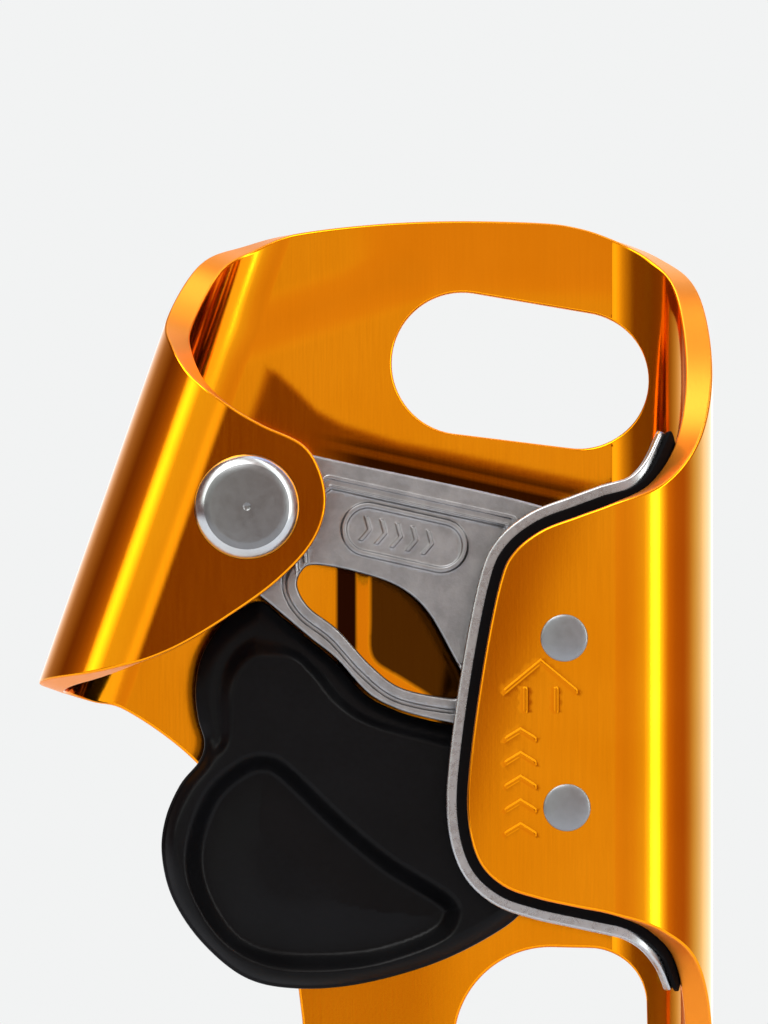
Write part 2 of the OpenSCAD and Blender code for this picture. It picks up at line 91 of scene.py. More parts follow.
LINER_R = 6.87
LINER_T = 0.9
LINER_RIM = 2.3
LINER_LEFT = -1.0
LINER_TOP = [[0, 53.1], [95, 53.1], [108, 56.6], [118, 62.1], [127, 67.3], [133, 67.5], [150, 64.3],
             [165, 62.5], [180, 61.9]]
LINER_BOTTOM = [[0, 19.1], [92, 19.1], [101, 14.1], [110, 8.1], [118, 6], [125, 6.7], [135, 8.4],
                [150, 10.2], [165, 11.4], [180, 12.1]]
STRIP_R = 7.66
STRIP_T = 0.6
STRIP_RIM = 1.15
STRIP_TOP = [[0, 52.3], [95, 52.3], [108, 57.1], [118, 65.2], [126, 67.5], [133, 66.4], [150, 62.9],
             [165, 61.3], [180, 60.7]]
STRIP_BOTTOM = [[0, 19.9], [92, 19.9], [101, 13.6], [110, 6.7], [118, 6.2], [125, 7.5], [135, 9.6],
                [150, 11.3], [165, 12.6], [180, 13.3]]

AXLE = [-33.4, 59.2]
AXLE_R = 4.0
HUB_R = 7.6
BUSH_R = 5.0
HUB_FRONT = 14.55
ARM_FRONT = 13.6
ARM_REAR = 5.4
FACE_ANGLES = range(12, 33, 2)
FACE_GRIP = math.radians(20)
FACE_REACH = 44.4
ARM_TOP = [[-25.8, 64.8], [-3.4, 59.9], [3.4, 57.2], [8, 52.6]]
ARM_BOTTOM = [[8.9, 31.05], [7, 31.5], [-3.4, 33.8], [-10.8, 35.4], [-13.7, 36], [-17, 37],
              [-20.2, 38.8], [-23.6, 42.5], [-26.6, 44.9], [-31.6, 49.1]]
CAM_WINDOW = [[-27.9, 50.4], [-27.4, 52.1], [-26, 52.8], [-21.8, 52.1], [-17, 50.5], [-13.7, 47.8],
              [-10.8, 42.8], [-9.4, 39.8], [-10, 38.3], [-11.8, 38.2], [-16.6, 39.3],
              [-19.9, 41.8], [-23.4, 45.6], [-26.6, 48.1]]
WEB = [[-24.4, 62], [-4.4, 57.6], [-2.6, 52], [-6.6, 41], [-10, 41], [-14.6, 44], [-20, 49.6], [-27.4, 51.6],
       [-28, 59]]
BADGE = [[-20.1, 56.7], [-12.1, 54.9]]
BADGE_R = 3.1
TOOTH_H = 1.3
TOOTH_R = 0.8

PIN = [-4, 30.1]
PIN_R = 1.55
EAR_R = 3.4
LUG_R = 3.0
FORK_R = 3.6
FORK_Y = (-10.9, -6.1)
TRIGGER_FRONT = 12.8
TRIGGER_REAR = 3.9
TRIGGER_EDGE = (10.4, 5.8)
TRIGGER = [[-32.2, 48.8], [-35.9, 46.6], [-38.3, 43], [-39.1, 39.3], [-38.8, 35.9], [-38.1, 33.3],
           [-38.7, 31.2], [-40.8, 28.6], [-42.4, 24.9], [-42.8, 20.9], [-41.6, 16.1], [-38.4, 11.3],
           [-33.6, 7.4], [-28, 6.2], [-21, 6.7], [-13, 8.9], [-6.6, 12], [-3, 14.9], [-1.6, 19.1],
           [-1.4, 25.1], [-1.6, 29.6], [-2.7, 32.2], [-5.5, 33.55], [-9.3, 34.75], [-13.7, 35.75],
           [-17, 36.75], [-20.35, 38.5], [-23.85, 42.3], [-26.75, 44.7], [-29.5, 47]]
PLATEAU = [[-40.8, 24.2], [-38.8, 28], [-36.6, 30.8], [-35.2, 33], [-34.9, 35.6], [-34.8, 38.4],
           [-34, 40.8], [-32.4, 42.2], [-28.8, 42.3], [-26.5, 40.4], [-24.2, 37.5], [-21.2, 35.3],
           [-17.6, 34], [-11.4, 32.4], [-5.4, 30.6], [-3.6, 28.6], [-3.2, 25], [-3.4, 19.6],
           [-4.6, 16.1], [-7.8, 13.6], [-13.6, 10.9], [-21.2, 8.7], [-28, 8.2], [-32.6, 9.3],
           [-36.8, 12.6], [-39.6, 17], [-40.9, 21]]
THUMB_WELL = [[-40, 21.6], [-39.2, 16.2], [-35.8, 11], [-31, 8.7], [-25, 8.3], [-18.8, 8.9],
              [-12.6, 11.1], [-10.3, 13.6], [-10.9, 16.3], [-17.6, 20.6], [-23, 25.1], [-28.8, 30.6],
              [-31.4, 31.8], [-34.4, 31], [-38, 27.6]]
THUMB_DEPTH = 2.6

# ---- plane geometry


def catmull(a, b, c, d, t):
    """Point t of the way from b to c on the smooth curve through a, b, c and d."""
    bend = 2 * a - 5 * b + 4 * c - d
    return 0.5 * (2 * b + (c - a) * t + bend * t * t + (3 * b - a - 3 * c + d) * t ** 3)


def spans(p, step, closed):
    """Smooth curve through the points p, with a point about every step."""
    p = np.array(p, float)
    count = len(p) if closed else len(p) - 1
    out = []
    for i in range(count):
        if closed:
            a, b, c, d = p[i - 1], p[i], p[(i + 1) % count], p[(i + 2) % count]
        else:
            b, c = p[i], p[i + 1]
            a = p[i - 1] if i else 2 * b - c
            d = p[i + 2] if i + 2 < len(p) else 2 * c - b
        n = max(1, round(float(np.linalg.norm(c - b)) / step))
        out += [catmull(a, b, c, d, k / n) for k in range(n)]
    return np.array(out if closed else out + [p[-1]])


def area(loop):
    x, y = loop[:, 0], loop[:, 1]
    return 0.5 * float(np.sum(x * np.roll(y, -1) - np.roll(x, -1) * y))


def wound(loop, left):
    """The loop turned so that what it encloses is on its left, or on its right."""
    loop = np.array(loop, float)
    return loop if (area(loop) > 0) == left else loop[::-1].copy()


def arc(centre, r, degrees):
    """Points round the centre at the degrees."""
    return [[centre[0] + r * math.cos(a), centre[1] + r * math.sin(a)] for a in np.radians(degrees)]


def circle(centre, r, step=0.4):
    n = max(24, round(2 * math.pi * r / step))
    a = np.arange(n) * 2 * math.pi / n
    return np.array(centre) + r * np.stack([np.cos(a), np.sin(a)], 1)


def leftward(loop):
    """Unit normals to the left of a closed loop, at its points."""
    d = np.roll(loop, -1, 0) - np.roll(loop, 1, 0)
    n = np.stack([-d[:, 1], d[:, 0]], 1)
    return n / np.linalg.norm(n, axis=1)[:, None]


def inside(p, loop):
    """Whether each point is inside the loop."""
    a, b = loop, np.roll(loop, -1, 0)
    hit = np.zeros(len(p), bool)
    for (x0, y0), (x1, y1) in zip(a, b):
        if y0 != y1:
            rows = (p[:, 1] > min(y0, y1)) & (p[:, 1] <= max(y0, y1))
            hit ^= rows & (p[:, 0] < x0 + (p[:, 1] - y0) * (x1 - x0) / (y1 - y0))
    return hit


def depth_in(p, loop):
    """Distance from each point to the loop, positive inside it."""
    a, b = loop, np.roll(loop, -1, 0)
    best = np.full(len(p), 1e9)
    for s, e in zip(a, b):
        d = e - s
        t = np.clip(((p - s) @ d) / max(float(d @ d), 1e-12), 0, 1)
        best = np.minimum(best, np.linalg.norm(p - s - t[:, None] * d, axis=1))
    return np.where(inside(p, loop), best, -best)


def dense(loop, step=0.25):
    """A polygon with straight sides, its points a step apart."""
    out = []
    for a, b in zip(loop, np.roll(loop, -1, 0)):
        n = max(1, round(float(np.linalg.norm(b - a)) / step))
        out += [a + (b - a) * k / n for k in range(n)]
    return np.array(out)


def shrunk(corners, d, step=0.25):
    """The polygon with straight sides moved in by d, or out if d is negative, its points a step apart."""
    corners = wound(corners, True)
    along = np.roll(corners, -1, 0) - corners
    n = np.stack([-along[:, 1], along[:, 0]], 1) / np.linalg.norm(along, axis=1)[:, None]
    before = np.roll(n, 1, 0)
    return dense(corners + d * (n + before) / (1 + np.sum(n * before, 1))[:, None], step)


def oblong(a, b, radii, count, step):
    """An outline with round ends about a and b, each from count points."""
    heading = math.degrees(math.atan2(b[1] - a[1], b[0] - a[0]))
    ends = arc(a, radii[0], heading + np.linspace(90, 270, count))
    ends += arc(b, radii[1], heading + np.linspace(-90, 90, count))
    return dense(np.array(ends), step)


def with_middles(steps):
    """The steps and the points halfway between them, where a smooth step is at its steepest."""
    steps = np.array(steps, float)
    return np.sort(np.concatenate([steps, (steps[1:] + steps[:-1]) / 2]))


def runs(line, closed, loops, margin):
    """The stretches of the line that stay the margin inside the first loop and clear of the others."""
    depth = np.minimum.reduce([depth_in(line, loops[0])] + [-depth_in(line, loop) for loop in loops[1:]])
    keep = depth > margin
    if keep.all():
        return [np.concatenate([line, line[:1]]) if closed else line]
    if closed:
        start = int(np.argmin(keep))
        line, keep = np.roll(line, -start, 0), np.roll(keep, -start)
    out, run = [], []
    for q, ok in zip(line, keep):
        if ok:
            run.append(q)
        elif run:
            out.append(np.array(run))
            run = []
    return [r for r in out + ([np.array(run)] if run else []) if len(r) > 1]


def ramp(x, low, high):
    """Smooth step from 0 at low to 1 at high."""
    t = np.clip((x - low) / (high - low), 0, 1)
    return t * t * (3 - 2 * t)


def to_line(p, a, b):
    """Distance to the segment from a to b."""
    a, b = np.array(a, float), np.array(b, float)
    d = b - a
    length = float(np.linalg.norm(d))
    t = np.clip(((p - a) @ d) / length, 0, length)
    return np.linalg.norm(p - a - t[:, None] * d / length, axis=1)


def in_circle(p, centre, r):
    """Distance from each point to the circle, positive inside it."""
    return r - np.linalg.norm(p - np.array(centre), axis=1)


def curve(points, step):
    """A closed smooth loop through the points, wound leftward."""
    return wound(spans(points, step, True), True)


def upright(x, low, high, count):
    """Points evenly up the line at x."""
    return np.stack([np.full(count, x), np.linspace(low, high, count)], 1)


# ---- meshes


def flat_place(p, w):
    """Row-frame place of outline point p at height w towards the front."""
    return np.stack([p[:, 0], -w, p[:, 1]], 1)


def flat_turn(p, v):
    """Row-frame direction of v = (x, z, front) at p."""
    return np.stack([v[:, 0], -v[:, 2], v[:, 1]], 1)


class Folded:
    """A flat sheet folded half round one or two bend lines. w runs towards the unfolded sheet's rear.
    Each fold is a point on its bend line, the direction out of the plate and the middle's radius."""

    def __init__(self, rear_y, folds):
        self.rear_y = rear_y
        self.folds = folds

    def split(self, p):
        out = np.zeros_like(p)
        past = np.zeros(len(p))
        radius = np.ones(len(p))
        for point, direction, r in self.folds:
            d = (p - np.array(point)) @ np.array(direction)
            on = d > 0
            out[on] = direction
            past[on] = d[on]
            radius[on] = r
        angle = np.minimum(past / radius, math.pi)
        return out, past, radius, angle

    def place(self, p, w):
        out, past, radius, angle = self.split(p)
        along = (radius + w) * np.sin(angle) - (past - radius * angle)
        xz = p - out * past[:, None] + out * along[:, None]
        y = self.rear_y - radius + (radius + w) * np.cos(angle)
        y = np.where(past > 0, y, self.rear_y + w)
        return np.stack([xz[:, 0], y, xz[:, 1]], 1)

    def turn(self, p, v):
        out, past, radius, angle = self.split(p)
        outward = np.sum(v[:, :2] * out, 1)
        rest = v[:, :2] - outward[:, None] * out
        c, s = np.cos(angle), np.sin(angle)
        xz = rest + out * (outward * c + v[:, 2] * s)[:, None]
        y = -outward * s + v[:, 2] * c
        return np.stack([xz[:, 0], y, xz[:, 1]], 1)


LINE_MARGIN = 0.06
GRID_STAGGER = 0.25
GRID_CLEAR = 0.45


def fill(loops, spacing, features):
    """Triangles that fill the first loop less the others, on the feature lines and a grid of points."""
    lines = [run for line, closed in features for run in runs(line, closed, loops, LINE_MARGIN)]
    edge_points = np.concatenate(list(loops) + lines)
    tree = kdtree.KDTree(len(edge_points))
    for i, q in enumerate(edge_points):
        tree.insert((q[0], q[1], 0), i)
    tree.balance()
    low, high = edge_points.min(0), edge_points.max(0)
    xs = np.arange(low[0] + spacing / 2, high[0], spacing)
    ys = np.arange(low[1] + spacing / 2, high[1], spacing)
    grid = np.stack(np.meshgrid(xs, ys), -1).reshape(-1, 2)
    even_row = np.round((grid[:, 1] - ys[0]) / spacing) % 2 == 0
    grid[:, 0] += GRID_STAGGER * spacing * np.where(even_row, 1, -1)
    keep = np.zeros(len(grid), bool)
    for loop in loops:
        keep ^= inside(grid, loop)
    grid = grid[keep]
    grid = grid[[tree.find((q[0], q[1], 0))[2] > GRID_CLEAR * spacing for q in grid]]
    points = np.concatenate([edge_points, grid])
    edges, start = [], 0
    for k, line in enumerate(list(loops) + lines):
        n = len(line)
        edges += [(start + i, start + (i + 1) % n) for i in range(n if k < len(loops) else n - 1)]
        start += n
    verts, _, faces, origin, _, _ = delaunay_2d_cdt([Vector(q) for q in points], edges, [], 0, 1e-6)
    crossings = [i for i, o in enumerate(origin) if not o]
    back = np.array([o[0] if o else -1 for o in origin])
    back[crossings] = len(points) + np.arange(len(crossings))
    points = np.concatenate([points] + [[list(verts[i])] for i in crossings])
    tri = back[np.array([f[:3] for f in faces])]
    centre = points[tri].mean(1)
    keep = np.zeros(len(tri), bool)
    for loop in loops:
        keep ^= inside(centre, loop)
    return points, tri[keep]


def slopes(height, p, eps=0.03):
    """Unit normals of the surface at height(p)."""
    dx = (height(p + [eps, 0]) - height(p - [eps, 0])) / (2 * eps)
    dz = (height(p + [0, eps]) - height(p - [0, eps])) / (2 * eps)
    n = np.stack([-dx, -dz, np.ones(len(p))], 1)
    return n / np.linalg.norm(n, axis=1)[:, None]


def split_at(loop, x):
    """The loop with a point added wherever it crosses the upright at x."""
    points = []
    for a, b in zip(loop, np.roll(loop, -1, 0)):
        points.append(a)
        if (a[0] - x) * (b[0] - x) < 0:
            points.append(a + (b - a) * (x - a[0]) / (b[0] - a[0]))
    return np.array(points)


def solid(name, outline, holes, top, bottom, edge, spacing, top_features=(), bottom_features=(),
          place=flat_place, turn=flat_turn, lean=None, painted_shade=None):
    """A plate between the surfaces top(p) and bottom(p), with every cut edge rounded to the radius edge.
    lean(p) is how far the sheet's faces turn about the upright at p, in degrees.
    The last argument, a function of p, gives how dark the painted shade on the face at bottom is, from 0 to
    1."""
    steps = 3
    loops = [wound(outline, True)] + [wound(h, False) for h in holes]
    left = [leftward(loop) for loop in loops]
    inner = [loop + edge * n for loop, n in zip(loops, left)]
    places, normals, faces, cut, dark = [], [], [], [], []
    count = 0

    def add(p, w, v, is_cut, darkness=0.0):
        nonlocal count
        places.append(place(p, w))
        normals.append(turn(p, v))
        cut.append(np.full(len(p), float(is_cut)))
        dark.append(np.full(len(p), 1.0) * darkness)
        count += len(p)
        return count - len(p)

    def facing(n, sign, angle):
        return np.concatenate([-n * math.sin(angle), np.full((len(n), 1), sign * math.cos(angle))], 1)

    ends = {}
    for sign, height, features in ((1, top, top_features), (-1, bottom, bottom_features)):
        p, tri = fill(inner, spacing, features)
        v = slopes(height, p)
        if sign < 0:
            v = -v
        if lean is not None:
            v[:, 0] += np.tan(np.radians(lean(p)))
        start = add(p, height(p), v, 0, painted_shade(p) if painted_shade is not None and sign < 0 else 0.0)
        faces += [tuple(t + start) for t in tri]
        at = start
        ends[sign] = []
        for loop, n, rim in zip(loops, left, inner):
            level = height(rim)
            last = list(range(at, at + len(loop)))
            at += len(loop)
            for k in range(1, steps + 1):
                angle = 0.5 * math.pi * k / steps
                q = loop + edge * (1 - math.sin(angle)) * n
                first = add(q, level - sign * edge * (1 - math.cos(angle)), facing(n, sign, angle), k > 1)
                ring = list(range(first, first + len(loop)))
                m = len(loop)
                faces += [(last[i], last[(i + 1) % m], ring[(i + 1) % m], ring[i]) for i in range(m)]
                last = ring
            ends[sign].append(last)
    for a, b in zip(ends[1], ends[-1]):
        m = len(a)
        faces += [(a[i], a[(i + 1) % m], b[(i + 1) % m], b[i]) for i in range(m)]
    # The second painted attribute is painted shade, which darkens the bottom face's colour.
    return make(name, np.concatenate(places), faces, np.concatenate(normals),
                {"cut": np.concatenate(cut), "painted_shade": np.concatenate(dark)})


def make(name, verts, faces, normals=None, painted=()):
    """A smooth-shaded object. Faces are turned to agree with the normals, which it keeps as its own."""
    verts = verts * MM
    if normals is not None:
        normals = normals / np.linalg.norm(normals, axis=1)[:, None]
        turned = []
        for f in faces:
            a, b, c = verts[f[0]], verts[f[1]], verts[f[2]]
            agrees = np.dot(np.cross(b - a, c - a), normals[list(f)].sum(0)) >= 0
            turned.append(f if agrees else f[::-1])
        faces = turned
    mesh = bpy.data.meshes.new(name)
    mesh.from_pydata([tuple(v) for v in verts], [], [tuple(int(i) for i in f) for f in faces])
    mesh.polygons.foreach_set("use_smooth", [True] * len(mesh.polygons))
    for attribute in painted:
        values = painted[attribute].astype(np.float32)
        mesh.attributes.new(attribute, "FLOAT", "POINT").data.foreach_set("value", values)
    mesh.update()
    if normals is not None:
        mesh.normals_split_custom_set_from_vertices([tuple(n) for n in normals])
    return linked(name, mesh)


def linked(name, data):
    """A new object in the scene."""
    obj = bpy.data.objects.new(name, data)
    bpy.context.scene.collection.objects.link(obj)
    return obj


def level(value):
    """A flat surface for solid()."""
    return lambda p: np.full(len(p), value)


def lathe(name, centre, profile, sides=96):
    """A piece turned about an axis along Y. The profile is [radius, y], from one end to the other."""
    profile = np.array(profile, float)
    verts, faces, rows = [], [], []
    for r, y in profile:
        if r == 0:
            rows.append([len(verts)])
            verts.append((centre[0], y, centre[1]))
        else:
            rows.append(list(range(len(verts), len(verts) + sides)))
            verts += [(x, y, z) for x, z in arc(centre, r, np.arange(sides) * 360 / sides)]
    pairs = list(zip(rows, rows[1:]))
    if profile[0][0] > 0:
        pairs.append((rows[-1], rows[0]))
    for a, b in pairs:
        for k in range(sides):
            j = (k + 1) % sides
            ring = [a[k % len(a)], a[j % len(a)], b[j % len(b)], b[k % len(b)]]
            ring = list(dict.fromkeys(ring))
            if len(ring) > 2:
                faces.append(ring)
    obj = make(name, np.array(verts), faces)
    tidy_normals(obj, angle=35)
    return obj


def tidy_normals(obj, angle):
    """Outward faces, smooth but for edges sharper than the angle, weighted by face area."""
    bm = bmesh.new()
    bm.from_mesh(obj.data)
    bmesh.ops.recalc_face_normals(bm, faces=bm.faces)
    bm.to_mesh(obj.data)
    bm.free()
    obj.data.polygons.foreach_set("use_smooth", [True] * len(obj.data.polygons))
    obj.data.set_sharp_from_angle(angle=math.radians(angle))
    weighted = obj.modifiers.new("weighted", "WEIGHTED_NORMAL")
    weighted.keep_sharp = True


def cut_away(obj, cutters):
    """Cuts the cutters' volume from obj and removes them."""
    for cutter in cutters:
        mod = obj.modifiers.new("cut", "BOOLEAN")
        mod.operation = "DIFFERENCE"
        mod.solver = "EXACT"
        mod.object = cutter
    deps = bpy.context.evaluated_depsgraph_get()
    mesh = bpy.data.meshes.new_from_object(obj.evaluated_get(deps))
    obj.modifiers.clear()
    obj.data = mesh
    for cutter in cutters:
        bpy.data.objects.remove(cutter)


# ---- materials


class Tree:
    """A tree of shader nodes. An input takes a value or another node's output."""

    def __init__(self, tree):
        self.tree = tree

    def put(self, socket, value):
        if isinstance(value, bpy.types.NodeSocket):
            self.tree.links.new(value, socket)
        elif isinstance(value, tuple) and socket.type == "RGBA":
            socket.default_value = (*value, 1)
        else:
            socket.default_value = value

    def add(self, kind, **values):
        node = self.tree.nodes.new(kind)
        for key, value in values.items():
            name = key.replace("_", " ")
            if name in node.inputs:
                self.put(node.inputs[name], value)
            else:
                setattr(node, key, value)
        return node

    def band(self, value, low, high, out_low=0.0, out_high=1.0, **values):
        node = self.add("ShaderNodeMapRange", From_Min=low, From_Max=high, To_Min=out_low, To_Max=out_high,
                        **values)
        self.put(node.inputs["Value"], value)
        return node.outputs["Result"]

    def calc(self, operation, *values):
        """What a math node makes of the values."""
        node = self.add("ShaderNodeMath", operation=operation)
        for socket, value in zip(node.inputs, values):
            self.put(socket, value)
        return node.outputs[0]

    def mix(self, factor, a, b):
        """Colour between a and b."""
        node = self.add("ShaderNodeMix", data_type="RGBA", Factor=factor)
        self.put(node.inputs[6], a)
        self.put(node.inputs[7], b)
        return node.outputs[2]


class Nodes(Tree):
    """A material's nodes, with the Principled shader at their end."""

    def __init__(self, name):
        self.material = bpy.data.materials.new(name)
        self.material.use_nodes = True
        super().__init__(self.material.node_tree)
        self.shader = next(n for n in self.tree.nodes if n.type == "BSDF_PRINCIPLED")
        self.place = self.add("ShaderNodeTexCoord").outputs["Object"]

    def stretched(self, scale):
        return self.add("ShaderNodeMapping", vector_type="POINT", Scale=scale, Vector=self.place).outputs[0]

    def noise(self, scale, detail=3.0, rough=0.55, where=None):
        """Noise with scale in cells per metre."""
        return self.add("ShaderNodeTexNoise", Scale=scale, Detail=detail, Roughness=rough,
                        Vector=where or self.place).outputs["Fac"]

    def attribute(self, name):
        return self.add("ShaderNodeAttribute", attribute_name=name).outputs["Fac"]

    def set(self, **values):
        for key, value in values.items():
            self.put(self.shader.inputs[key.replace("_", " ")], value)

    def bumps(self, *layers):
        """Bump from (height, distance in metres, strength) layers, one on another."""
        below = {}
        for height, distance, strength in layers:
            node = self.add("ShaderNodeBump", Distance=distance, Strength=strength, Height=height, **below)
            below = {"Normal": node.outputs["Normal"]}
        self.set(**below)


def anodised():
    n = Nodes("anodised_orange")
    grain = n.noise(1.0, 4, 0.6, n.stretched((5200, 5200, 160)))
    cloud = n.noise(55, 3)
    speck = n.noise(2600, 2)
    cut = n.attribute("cut")
    sheet = n.mix(n.band(cloud, 0.35, 0.65), (0.82, 0.27, 0.003), (0.87, 0.30, 0.005))
    sheet = n.mix(n.band(grain, 0.35, 0.75, 0, 0.2), sheet, (0.74, 0.22, 0.002))
    sheet = n.mix(n.band(cut, 0, 1, 0, 0.7), sheet, (0.72, 0.23, 0.03))
    # The second attribute is painted shade: it darkens the sheet towards near black where the studio's light
    # doesn't reach behind the cam.
    n.set(Base_Color=n.mix(n.attribute("painted_shade"), sheet, (0.02, 0.004, 0.001)), Metallic=1.0)
    n.set(Roughness=n.calc("MULTIPLY_ADD", cut, 0.36, n.band(grain, 0.3, 0.8, 0.09, 0.13)))
    n.bumps((n.noise(38, 1), 0.0012, 0.05), (grain, 0.00001, 0.08), (speck, 0.00001, 0.12))
    return n.material


def cast_metal():
    n = Nodes("cast_cam_metal")
    sand = n.noise(3200, 3, 0.6)
    blotch = n.noise(420, 4, 0.6)
    tone = n.mix(n.band(blotch, 0.35, 0.65), (0.235, 0.235, 0.24), (0.31, 0.31, 0.315))
    n.set(Base_Color=tone, Metallic=1.0, Roughness=n.band(sand, 0.3, 0.7, 0.34, 0.46))
    n.bumps((blotch, 0.00006, 0.5), (sand, 0.00004, 0.6))
    return n.material


def stainless(name, tone, rough, scale=1400):
    n = Nodes(name)
    scuff = n.noise(scale, 4, 0.6)
    tint = tuple(t * 0.9 for t in tone)
    n.set(Base_Color=n.mix(n.band(scuff, 0.3, 0.7), tint, tone), Metallic=1.0,
          Roughness=n.band(scuff, 0.3, 0.7, rough, rough + 0.08))
    n.bumps((scuff, 0.000015, 0.3), (n.noise(300, 2), 0.0001, 0.2))
    return n.material


def moulded(name, tone, rough, shine):
    n = Nodes(name)
    pits = n.noise(2400, 2, 0.5)
    n.set(Base_Color=n.mix(n.band(n.noise(180, 3), 0.35, 0.65), tone, tuple(t * 1.35 for t in tone)),
          Roughness=n.band(pits, 0.3, 0.7, rough, rough + 0.1), IOR=shine)
    n.bumps((pits, 0.00003, 0.35))
    return n.material


FINISH = {
    "anodised_plate": anodised(),
    "cast_cam": cast_metal(),
    "stainless": stainless("stainless_liner", (0.42, 0.43, 0.44), 0.24),
    "axle_steel": stainless("turned_axle_steel", (0.48, 0.50, 0.51), 0.2),
    # A darker copy of the axle steel for the head's flat face: painted shade.
    "painted_shade_face": stainless("axle_face_painted_shade", (0.185, 0.188, 0.19), 0.3, 1100),
    "rivet_steel": stainless("rivet_steel", (0.24, 0.25, 0.26), 0.34, 900),
    "spring_steel": stainless("spring_steel", (0.42, 0.42, 0.43), 0.35),
    # A black finish for painted shade: the strip in the shadowed gap by the liner's rim, and the axle head's
    # skirt.
    "black_strip": moulded("black_strip", (0.002, 0.002, 0.0025), 0.5, 1.12),
    "black_nylon": moulded("black_nylon", (0.0016, 0.0016, 0.002), 0.28, 1.19),
    "bronze": stainless("bearing_bronze", (0.55, 0.38, 0.18), 0.35),
}


def fitted(piece, body, finish, slot, *nodes):
    """Gives the piece its finish and rides it on its body, in place of the CAD nodes."""
    piece.data.materials.clear()
    piece.data.materials.append(FINISH[finish])
    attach(piece, body)
    if nodes:
        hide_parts(*nodes)
    return piece


# ---- plate

lean_dir = np.array([math.sin(LEAN), math.cos(LEAN)])
lean_out = np.array([-math.cos(LEAN), math.sin(LEAN)])
channel_span = math.pi * CHANNEL_R
pivot_span = math.pi * PIVOT_R


def flap_blank(p, radius=CHANNEL_R):
    """Unfolds points of the front flap into the flat sheet."""
    p = np.array(p, float)
    return np.stack([2 * BEND_X + math.pi * radius - p[:, 0], p[:, 1]], 1)


def pivot_blank(p):
    p = np.array(p, float)
    d = (p - np.array(LEAN_POINT)) @ lean_out
    return p + lean_out * (pivot_span - 2 * d)[:, None]


def lean_blank(along, k):
    return np.array(LEAN_POINT) + along * lean_dir + lean_out * pivot_span * k / 6


def plate_outline():
    points = [[BEND_X + channel_span * k / 6, CHANNEL_TOP[k]] for k in range(7)]
    points += flap_blank(FLAP_EDGE).tolist()
    points += [[BEND_X + channel_span * k / 6, CHANNEL_BOTTOM[k]] for k in range(6, -1, -1)]
    points += PLATE_BOTTOM
    points += [lean_blank(PIVOT_BOTTOM[k], k).tolist() for k in range(7)]
    points += pivot_blank(PIVOT_FLAP_EDGE)[::-1].tolist()
    points += [lean_blank(PIVOT_TOP[k], k).tolist() for k in range(6, -1, -1)]
    points += PLATE_TOP
    return spans(points, 0.6, True)


def past_bend(loop):
    """Spaces a hole's points round the channel bend so that it looks straight cut from the front."""
    inner = CHANNEL_R - SHEET / 2
    reach = np.clip((loop[:, 0] - BEND_X) / inner, 0, 0.99)
    x = np.where(loop[:, 0] > BEND_X, BEND_X + CHANNEL_R * np.arcsin(reach), loop[:, 0])
    return np.stack([x, loop[:, 1]], 1)


def lower_eye():
    """The round eye and its relief towards the channel, with straight lines across the cusps between them."""
    centre, r = EYE_RELIEF
    both = np.concatenate([circle([0, 0], LOWER_EYE_R), circle(centre, r)])
    hull = convex_hull_2d([Vector(q) for q in both])
    return past_bend(dense(both[hull], 0.4))


def chevron(x, z, half, rise, stroke):
    """An upright chevron, as [x, z], its feet at height z."""
    return np.array([[x - half, z], [x, z + rise], [x + half, z],
                     [x + half, z + stroke], [x, z + rise + stroke], [x - half, z + stroke]])


def bar(x, z, half, height):
    return np.array([[x - half, z], [x + half, z], [x + half, z + height], [x - half, z + height]])


# The arrow and the chevrons engraved on the flap, as seen from the front.
MARKS = [chevron(-1.2, 38.4, 4.1, 3.4, 0.8), bar(-2.9, 36.5, 0.3, 3.0), bar(0.5, 36.5, 0.3, 3.0)]
MARKS += [chevron(-3.4, 22.8 + 2.6 * k, 1.8, 1.1, 0.75) for k in range(5)]
MARK_DEPTH = 0.06
MARK_WALL = 0.24
MARK_CLEAR = 0.5
POCKET_WALL = (-0.7, 0.5)
POCKET_SLOPE = 1.2
POCKET_CLEAR = 2

mark_loops = [wound(flap_blank(m), True) for m in MARKS]
pocket_loop = curve(dense(np.array(POCKET), 3.0), 0.6)


def around(p, loop, clear):
    """Which points lie in the loop's box or within clear of it."""
    return np.all((p > loop.min(0) - clear) & (p < loop.max(0) + clear), 1)


def plate_outer(p):
    w = np.full(len(p), SHEET / 2)
    for loop in mark_loops:
        near = around(p, loop, MARK_CLEAR)
        if near.any():
            w[near] -= MARK_DEPTH * ramp(depth_in(p[near], loop), 0, MARK_WALL)
    return w


def plate_inner(p):
    w = np.full(len(p), -SHEET / 2)
    near = around(p, pocket_loop, POCKET_CLEAR)
    past_wall = depth_in(p[near], pocket_loop) - POCKET_WALL[0]
    w[near] += POCKET_DEPTH * np.clip(past_wall / POCKET_SLOPE, 0, 1)
    return w


# The lean of the plate's faces, in degrees, and where on the flat sheet it comes and goes.
SHADE_LINE = [[-34.9, 70.4], [-34.0, 73.4], [-32, 74.4], [-30.2, 73.7], [-27.9, 71.6], [-25.8, 69.5],
              [-23, 68], [-16.7, 66], [-11, 64.9], [10, 60.5]]
SHADE_EDGE = (-0.6, 1.0)
LIT_LOW = (40, 32)
LIT_BY_PIVOT = (-3.4, -1.4)
LIT_BEHIND_CAM = (56, 54)
MID_HEIGHT = 30
BACK_LEAN = 3.2
DISH = [[-33.6, 78.4], [-16, 84.5]]
DISH_LEAN = 4.5
DISH_REACH = 3.5
CORNER_LEAN = 4
CORNER_X = (-24, -14)
CORNER_Z = (81, 86)
LOW_LEAN = 1.3
LOW_Z = (20, 12)
LOW_X = (-6, -16)
PIVOT_FADE = (6, 0)
FLAP_LEAN = (1.0, 2.2)
FLAP_FADE = (-6, 5)
FLAP_SLANT = 0.35
FLAP_MIDDLE = 48
FLAP_START = 3
BEND_LEAN = 6
BEND_FADE = 4
BEND_STEP = 0.02


